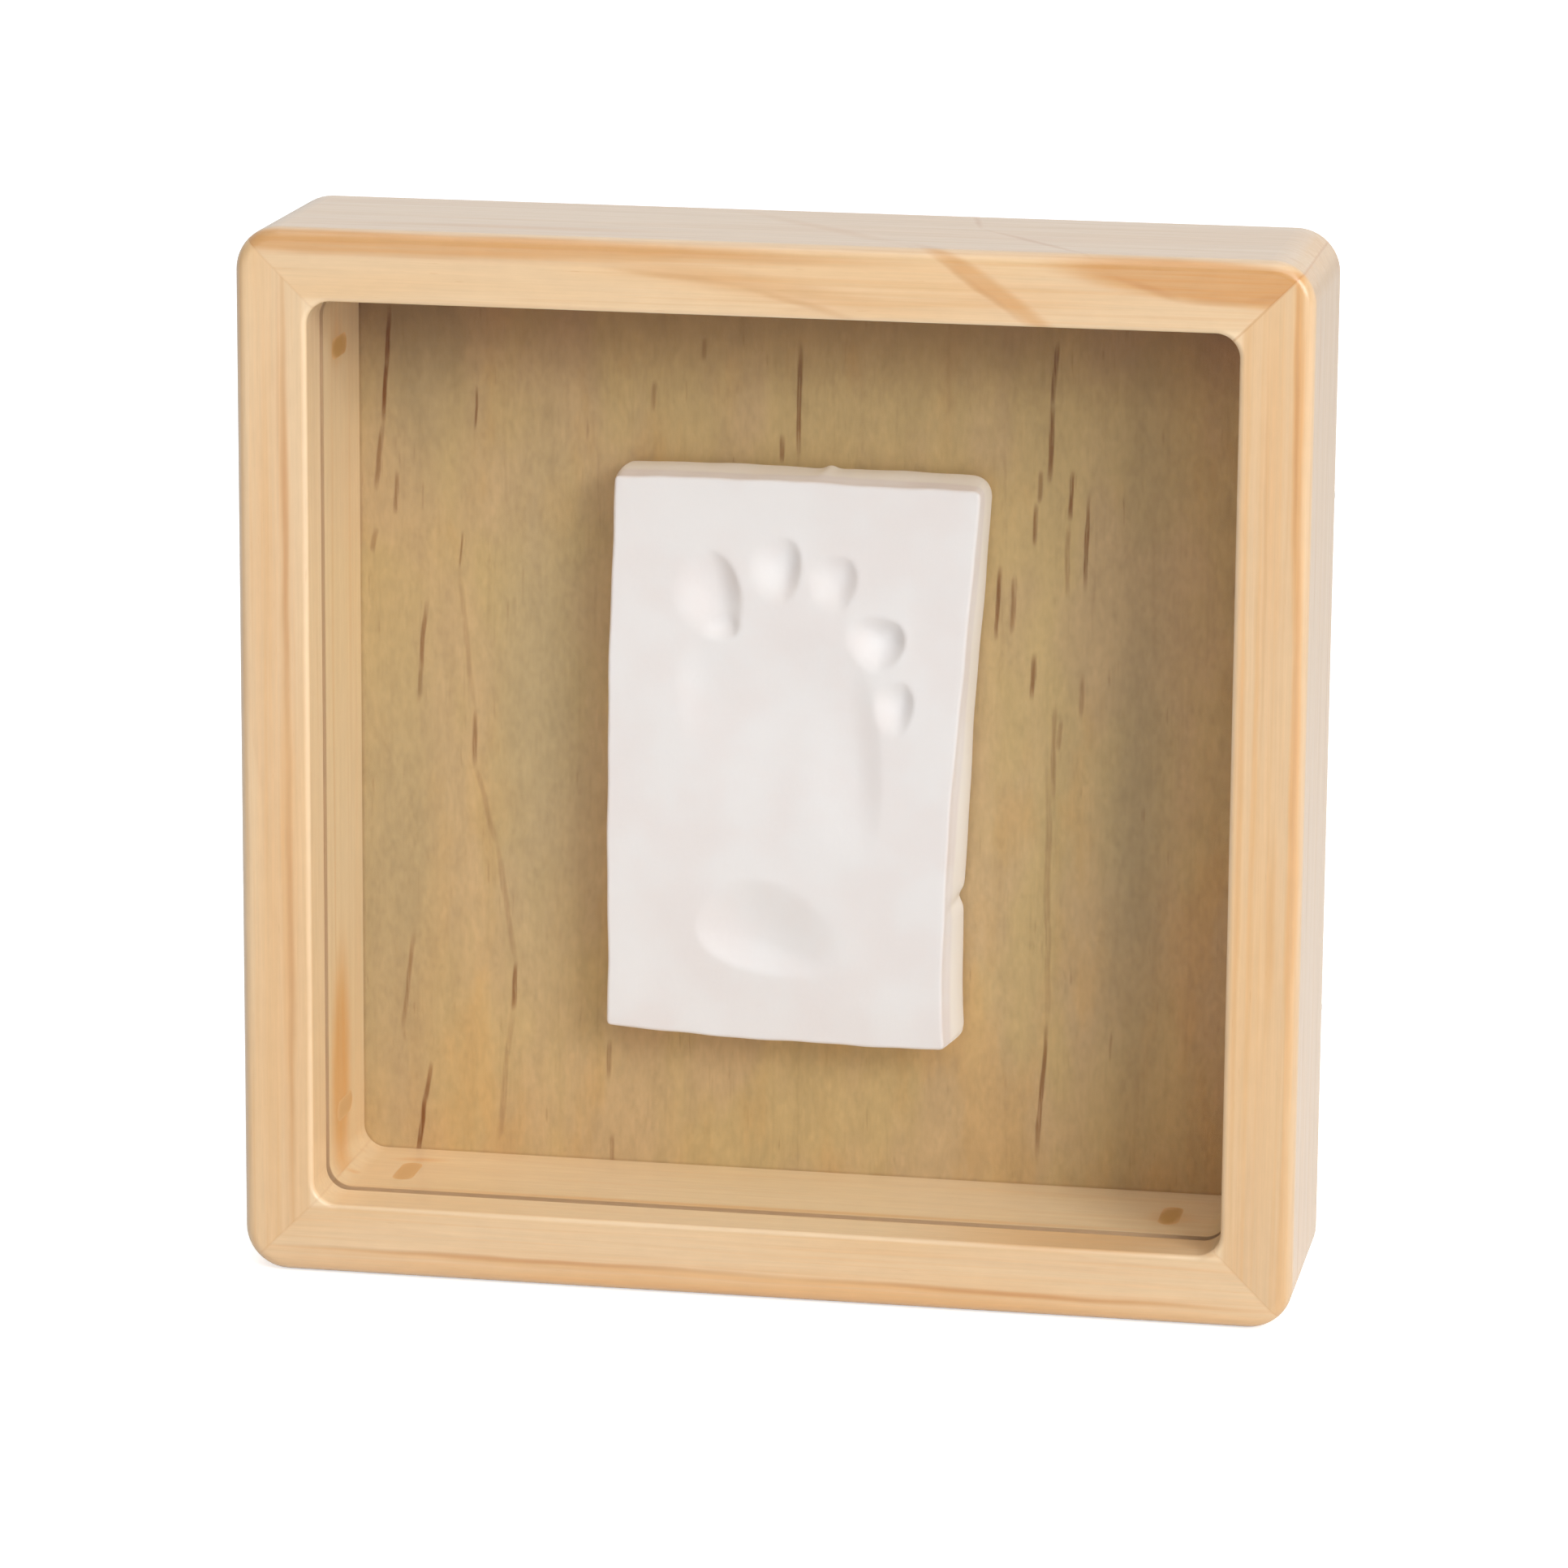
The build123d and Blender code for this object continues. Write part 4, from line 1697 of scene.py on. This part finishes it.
    def rail(self, number: int, side: Side) -> Timber:
        """Chooses the wood of one rail.

        Args:
            number: The rail's number.
            side: Its side of the case.

        Returns:
            The wood.
        """
        top, right = side is Side.TOP, side is Side.RIGHT
        return Timber(
            f"pine_{side.value}",
            run=self.run(side),
            pale=RIGHT_PALE if right else PINE_PALE,
            warm=PINE_WARM,
            dark=PINE_DARK,
            amber=TOP_AMBER if top else PINE_AMBER,
            heart=self.hearts[side],
            ring_gap=5.2,
            ring_depth=0.12,
            ring_lean=0.03 if number % 2 else -0.03,
            seed=11.3 * (number + 1),
            slant=self.top_slant if top else self.slant,
            # The outer faces' painted sheen, weaker on the right rail.
            painted_sheen=0.12 if right else 0.30,
            bands=self.rail_bands[side],
            streaks=self.rail_streaks[side],
            outer_streaks=self.outer_streaks.get(side, ()),
        )

    def strip(self, number: int, side: Side) -> Timber:
        """Chooses the wood of one liner strip.

        Args:
            number: The strip's number.
            side: Its side of the case.

        Returns:
            The wood.
        """
        return Timber(
            f"liner_pine_{side.value}",
            run=self.run(side),
            pale=LINER_PALE,
            warm=LINER_WARM,
            dark=LINER_DARK,
            amber=LINER_AMBER,
            heart=(20.0 * number, 70.0),
            ring_gap=3.4,
            ring_depth=0.14,
            seed=5.7 * (number + 2),
            slant=1.0,
            bands=self.liner_bands.get(side, ()),
        )

    @staticmethod
    def run(side: Side) -> Run:
        """Gives the way the fibres of one side run."""
        return Run.LEVEL if side in (Side.TOP, Side.BOTTOM) else Run.UPRIGHT

    def build(self) -> None:
        """Dresses the rails, the liner strips, the filler and the corner and liner nails."""
        for number, side in enumerate(Side):
            dress(f"{side.value}_rail", self.rail(number, side).make())
            dress(f"liner_{side.value}", self.strip(number, side).make())
        dress("nail_filler", Filler("ochre_filler", paint(238, 199, 149), paint(206, 160, 96)).make())
        bright = Steel("bright_wire", paint(196, 192, 186), sheen=0.32, brushed=3.0).make()
        dress("corner_nails", bright)
        dress("liner_nails", bright)


@dataclass
class Window:
    """The clear pane between the front lip and the liner.

    Attributes:
        tint: What of the light it lets through.
    """

    tint: Colour = (0.985, 0.99, 0.985, 1.0)

    def build(self) -> None:
        """Dresses the pane."""
        dress("window_pane", ClearSheet("clear_sheet", self.tint).make())


@dataclass
class BackPanel:
    """The backboard that slides out at the back, with the clay tile on its pads.

    Attributes:
        tile: The tile.
        clouds: The board's greyer, darker patches, along its fibres and across them.
        streaks: Its dark lines.
    """

    tile: ClayTile = field(default_factory=ClayTile)
    clouds: tuple[Streak, ...] = (
        Streak((-96.0, -69.0), (34.0, -67.0), 0.85, 15.0),
        Streak((-62.0, -45.0), (62.0, -43.0), 0.80, 12.0),
        Streak((-76.0, 54.0), (40.0, 55.0), 0.80, 9.0),
        Streak((20.0, 56.0), (74.0, 55.0), 0.40, 8.0),
        Streak((30.0, -64.0), (96.0, -62.0), 0.90, 14.0),
    )
    streaks: tuple[Streak, ...] = (
        Streak((48.0, -69.6), (67.5, -68.5), 0.85),
        Streak((37.5, -70.8), (49.0, -69.6), 0.50),
        Streak((48.0, -54.5), (55.0, -53.9), 0.60, 0.35),
        Streak((33.5, -67.7), (40.5, -67.2), 0.50),
        Streak((27.0, -71.3), (31.0, -70.8), 0.35),
        Streak((2.5, -64.1), (19.5, -62.4), 0.55),
        Streak((25.0, -56.9), (31.0, -56.4), 0.45, 0.35),
        Streak((-8.0, -54.6), (1.5, -54.6), 0.50),
        Streak((55.0, 39.7), (65.5, 40.5), 0.70),
        Streak((43.0, 39.7), (56.0, 39.7), 0.70),
        Streak((39.5, 38.0), (45.0, 38.3), 0.45),
        Streak((32.5, 37.2), (39.5, 37.5), 0.60),
        Streak((37.0, 42.8), (45.0, 43.4), 0.70, 0.65),
        Streak((24.5, 42.8), (36.5, 42.6), 0.35),
        Streak((26.0, 45.5), (41.0, 46.0), 0.70, 0.60),
        Streak((17.0, 31.4), (29.0, 31.7), 0.70, 0.60),
        Streak((18.0, 34.0), (27.5, 34.1), 0.50),
        Streak((7.5, 37.1), (15.0, 37.6), 0.60, 0.75),
        Streak((4.5, 45.2), (12.0, 45.2), 0.35),
        Streak((-1.0, 41.6), (4.5, 42.0), 0.35),
        Streak((-9.5, 40.9), (7.0, 40.9), 0.35),
        Streak((-68.5, 39.2), (-46.0, 40.6), 0.62),
        Streak((-47.0, 40.6), (-1.5, 40.0), 0.26, 0.9),
        Streak((-53.0, -66.9), (-36.5, -64.8), 0.42),
        Streak((-49.0, -48.2), (-40.5, -47.9), 0.62),
        Streak((-66.0, -63.4), (-58.5, -62.0), 0.60),
        Streak((-75.0, -64.6), (-63.5, -63.1), 0.78),
        Streak((-60.0, -32.1), (-53.0, -31.8), 0.42),
        Streak((-75.0, -31.7), (-69.0, -31.5), 0.38),
        Streak((1.5, -54.8), (25.0, -57.0), 0.18, 0.8),
        Streak((-21.0, -50.9), (-8.0, -54.5), 0.22, 0.8),
        Streak((-41.0, -47.9), (-20.5, -50.9), 0.22, 0.8),
        Streak((-73.0, -51.0), (-48.5, -48.2), 0.22, 0.9),
        Streak((45.5, -1.2), (64.0, -1.1), 0.65),
        Streak((44.5, -3.9), (49.0, -3.7), 0.55),
        Streak((52.0, -25.2), (57.0, -24.9), 0.35),
        Streak((60.5, -16.7), (64.5, -16.5), 0.35),
    )

    def build(self) -> None:
        """Dresses the board and the pads, and builds the tile in place of its plain solid."""
        board = Veneer(
            "ply_face",
            khaki=paint(203, 174, 122),
            pink=paint(202, 170, 129),
            ochre=paint(207, 166, 108),
            grey=paint(184, 161, 122),
            dark=paint(134, 84, 40),
            core=paint(176, 132, 84),
            clouds=self.clouds,
            streaks=self.streaks,
        )
        dress("backboard", board.make())
        dress("tile_pads", SoftFoam("pad_foam", paint(228, 224, 214)).make())
        tile = self.tile.build()
        clay = DriedClay(
            "dried_clay",
            body=paint(245, 240, 241),
            cloud=paint(243, 235, 235),
            # The sides' paler painted light.
            side=paint(253, 249, 246),
        )
        tile.data.materials.append(clay.make())
        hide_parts("clay_tile")
        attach(tile, "back_panel")
        log.info("built footprint_tile: %d faces", len(tile.data.polygons))


@dataclass
class Hardware:
    """The turn buttons, their screws, the sawtooth hanger and its nails.

    Attributes:
        plate: The colour of the sheet pieces.
        screw: The colour of the screws and nails.
    """

    plate: Colour = paint(205, 200, 190)
    screw: Colour = paint(212, 206, 192)

    def build(self) -> None:
        """Dresses the hardware."""
        plated = Steel("zinc_plate", self.plate, sheen=0.36, brushed=2.4).make()
        bright = Steel("bright_screw", self.screw, sheen=0.28, brushed=3.5).make()
        for corner in ("upper_left", "upper_right", "lower_left", "lower_right"):
            dress(f"turn_button_{corner}", plated)
        dress("sawtooth_hanger", plated)
        dress("turn_button_screws", bright)
        dress("hanger_nails", bright)


@dataclass(frozen=True)
class Lamp:
    """A square soft lamp.

    Attributes:
        name: Its name.
        turn: Its place round the case, in degrees from straight in front towards the right.
        rise: Its height above the horizon, in degrees.
        power: Its power in watts.
        size: The length of its side in metres.
    """

    name: str
    turn: float
    rise: float
    power: float
    size: float


@dataclass
class Studio:
    """A pale floor, a bright soft backdrop, two large lamps to the upper right, and the camera.

    Attributes:
        lens: The camera's focal length in millimetres.
        sensor: The width of its film in millimetres.
        camera_place: Where it stands, in metres.
        camera_right: Which way its right side points.
        camera_up: Which way its top points.
        camera_back: Which way its back points.
        clip: The nearest and the farthest that it sees, in metres.
        floor_half: Half of the floor's side in metres.
        floor_drop: How far the floor lies under the case, in metres.
        floor_glow: How strongly the floor glows to the camera.
        room_light: How bright the room in front of the case is.
        backdrop_light: How bright the backdrop is.
        horizon: Where the room passes into the backdrop, as the depth part of a direction.
        lamp_reach: How far the lamps hang from the case, in metres.
        lamps: The lamps.
    """

    lens: float = 158.04
    sensor: float = 36.0
    camera_place: tuple[float, float, float] = (0.19199, -1.05579, 0.32744)
    camera_right: tuple[float, float, float] = (0.98347, 0.18091, 0.00703)
    camera_up: tuple[float, float, float] = (-0.04738, 0.21973, 0.97441)
    camera_back: tuple[float, float, float] = (0.17474, -0.95864, 0.22467)
    clip: Pair = (0.05, 60.0)
    floor_half: float = 6.0
    floor_drop: float = 0.0003
    floor_glow: float = 0.62
    room_light: float = 0.04
    backdrop_light: float = 0.72
    horizon: Pair = (-0.25, 0.35)
    lamp_reach: float = 3.0
    lamps: tuple[Lamp, ...] = (
        Lamp("key_lamp", turn=45.0, rise=21.0, power=42.5, size=1.3),
        Lamp("high_lamp", turn=22.0, rise=54.0, power=58.0, size=3.2),
    )

    def floor(self) -> None:
        """Builds the floor, a wide grid of four by four faces just under the case."""
        line = np.linspace(-self.floor_half, self.floor_half, 5)
        xx, yy = np.meshgrid(line, line)
        points = np.column_stack([xx.ravel(), yy.ravel(), np.full(xx.size, -self.floor_drop)])
        mesh = bpy.data.meshes.new("floor")
        mesh.from_pydata(points.tolist(), [], quads(np.arange(xx.size).reshape(xx.shape)).tolist())
        mesh.materials.append(PaleFloor("pale_floor", self.floor_glow).make())
        piece = place_in_scene("floor", mesh)

    def room(self) -> None:
        """Sets the room's light: a bright backdrop and a dimmer room in front, white to the camera."""
        world = bpy.data.worlds.new("soft_room")
        world.use_nodes = True
        bpy.context.scene.world = world
        t = Tree(world.node_tree)
        depth = t.parts(t.put("ShaderNodeTexCoord", {}).outputs["Generated"])[1]
        level = t.spread(depth, *self.horizon, self.room_light, self.backdrop_light, smooth=True)
        seen = t.put("ShaderNodeLightPath", {}).outputs["Is Camera Ray"]
        strength = t.math("MAXIMUM", level, seen)
        glow = t.put("ShaderNodeBackground", {"Color": WHITE, "Strength": strength})
        t.put("ShaderNodeOutputWorld", {"Surface": glow.outputs[0]})

    def hang(self, lamp: Lamp) -> None:
        """Hangs a lamp so that it faces the middle of the case.

        Args:
            lamp: The lamp.
        """
        data = bpy.data.lights.new(lamp.name, "AREA")
        data.shape = "SQUARE"
        data.size = lamp.size
        data.energy = lamp.power
        hung = place_in_scene(lamp.name, data)
        turn, rise = np.radians(lamp.turn), np.radians(lamp.rise)
        level = np.cos(rise)
        way = Vector((float(np.sin(turn) * level), float(-np.cos(turn) * level), float(np.sin(rise))))
        hung.location = Vector((0.0, 0.0, MIDDLE_Z)) + way * self.lamp_reach
        hung.rotation_mode = "QUATERNION"
        hung.rotation_quaternion = (-way).to_track_quat("-Z", "Y")

    def camera(self) -> None:
        """Sets the camera at the photograph's place and angle."""
        data = bpy.data.cameras.new("camera")
        data.lens = self.lens
        data.sensor_width = self.sensor
        data.clip_start, data.clip_end = self.clip
        eye = place_in_scene("camera", data)
        turn = Matrix((self.camera_right, self.camera_up, self.camera_back)).transposed().to_4x4()
        eye.matrix_world = Matrix.Translation(self.camera_place) @ turn
        bpy.context.scene.camera = eye

    def build(self) -> None:
        """Sets up the whole studio."""
        self.floor()
        self.room()
        for lamp in self.lamps:
            self.hang(lamp)
        self.camera()
        view = bpy.context.scene.view_settings
        view.view_transform = "Standard"
        view.look = "None"
        view.exposure = 0.0
        view.gamma = 1.0


def main() -> None:
    """Builds the sub-assemblies in order and reports each one."""
    logging.basicConfig(level=logging.INFO, format="%(name)s: %(message)s")
    for assembly in (Studio(), Case(), Window(), BackPanel(), Hardware()):
        assembly.build()
        log.info("finished %s", type(assembly).__name__)


if __name__ == "__main__":
    main()
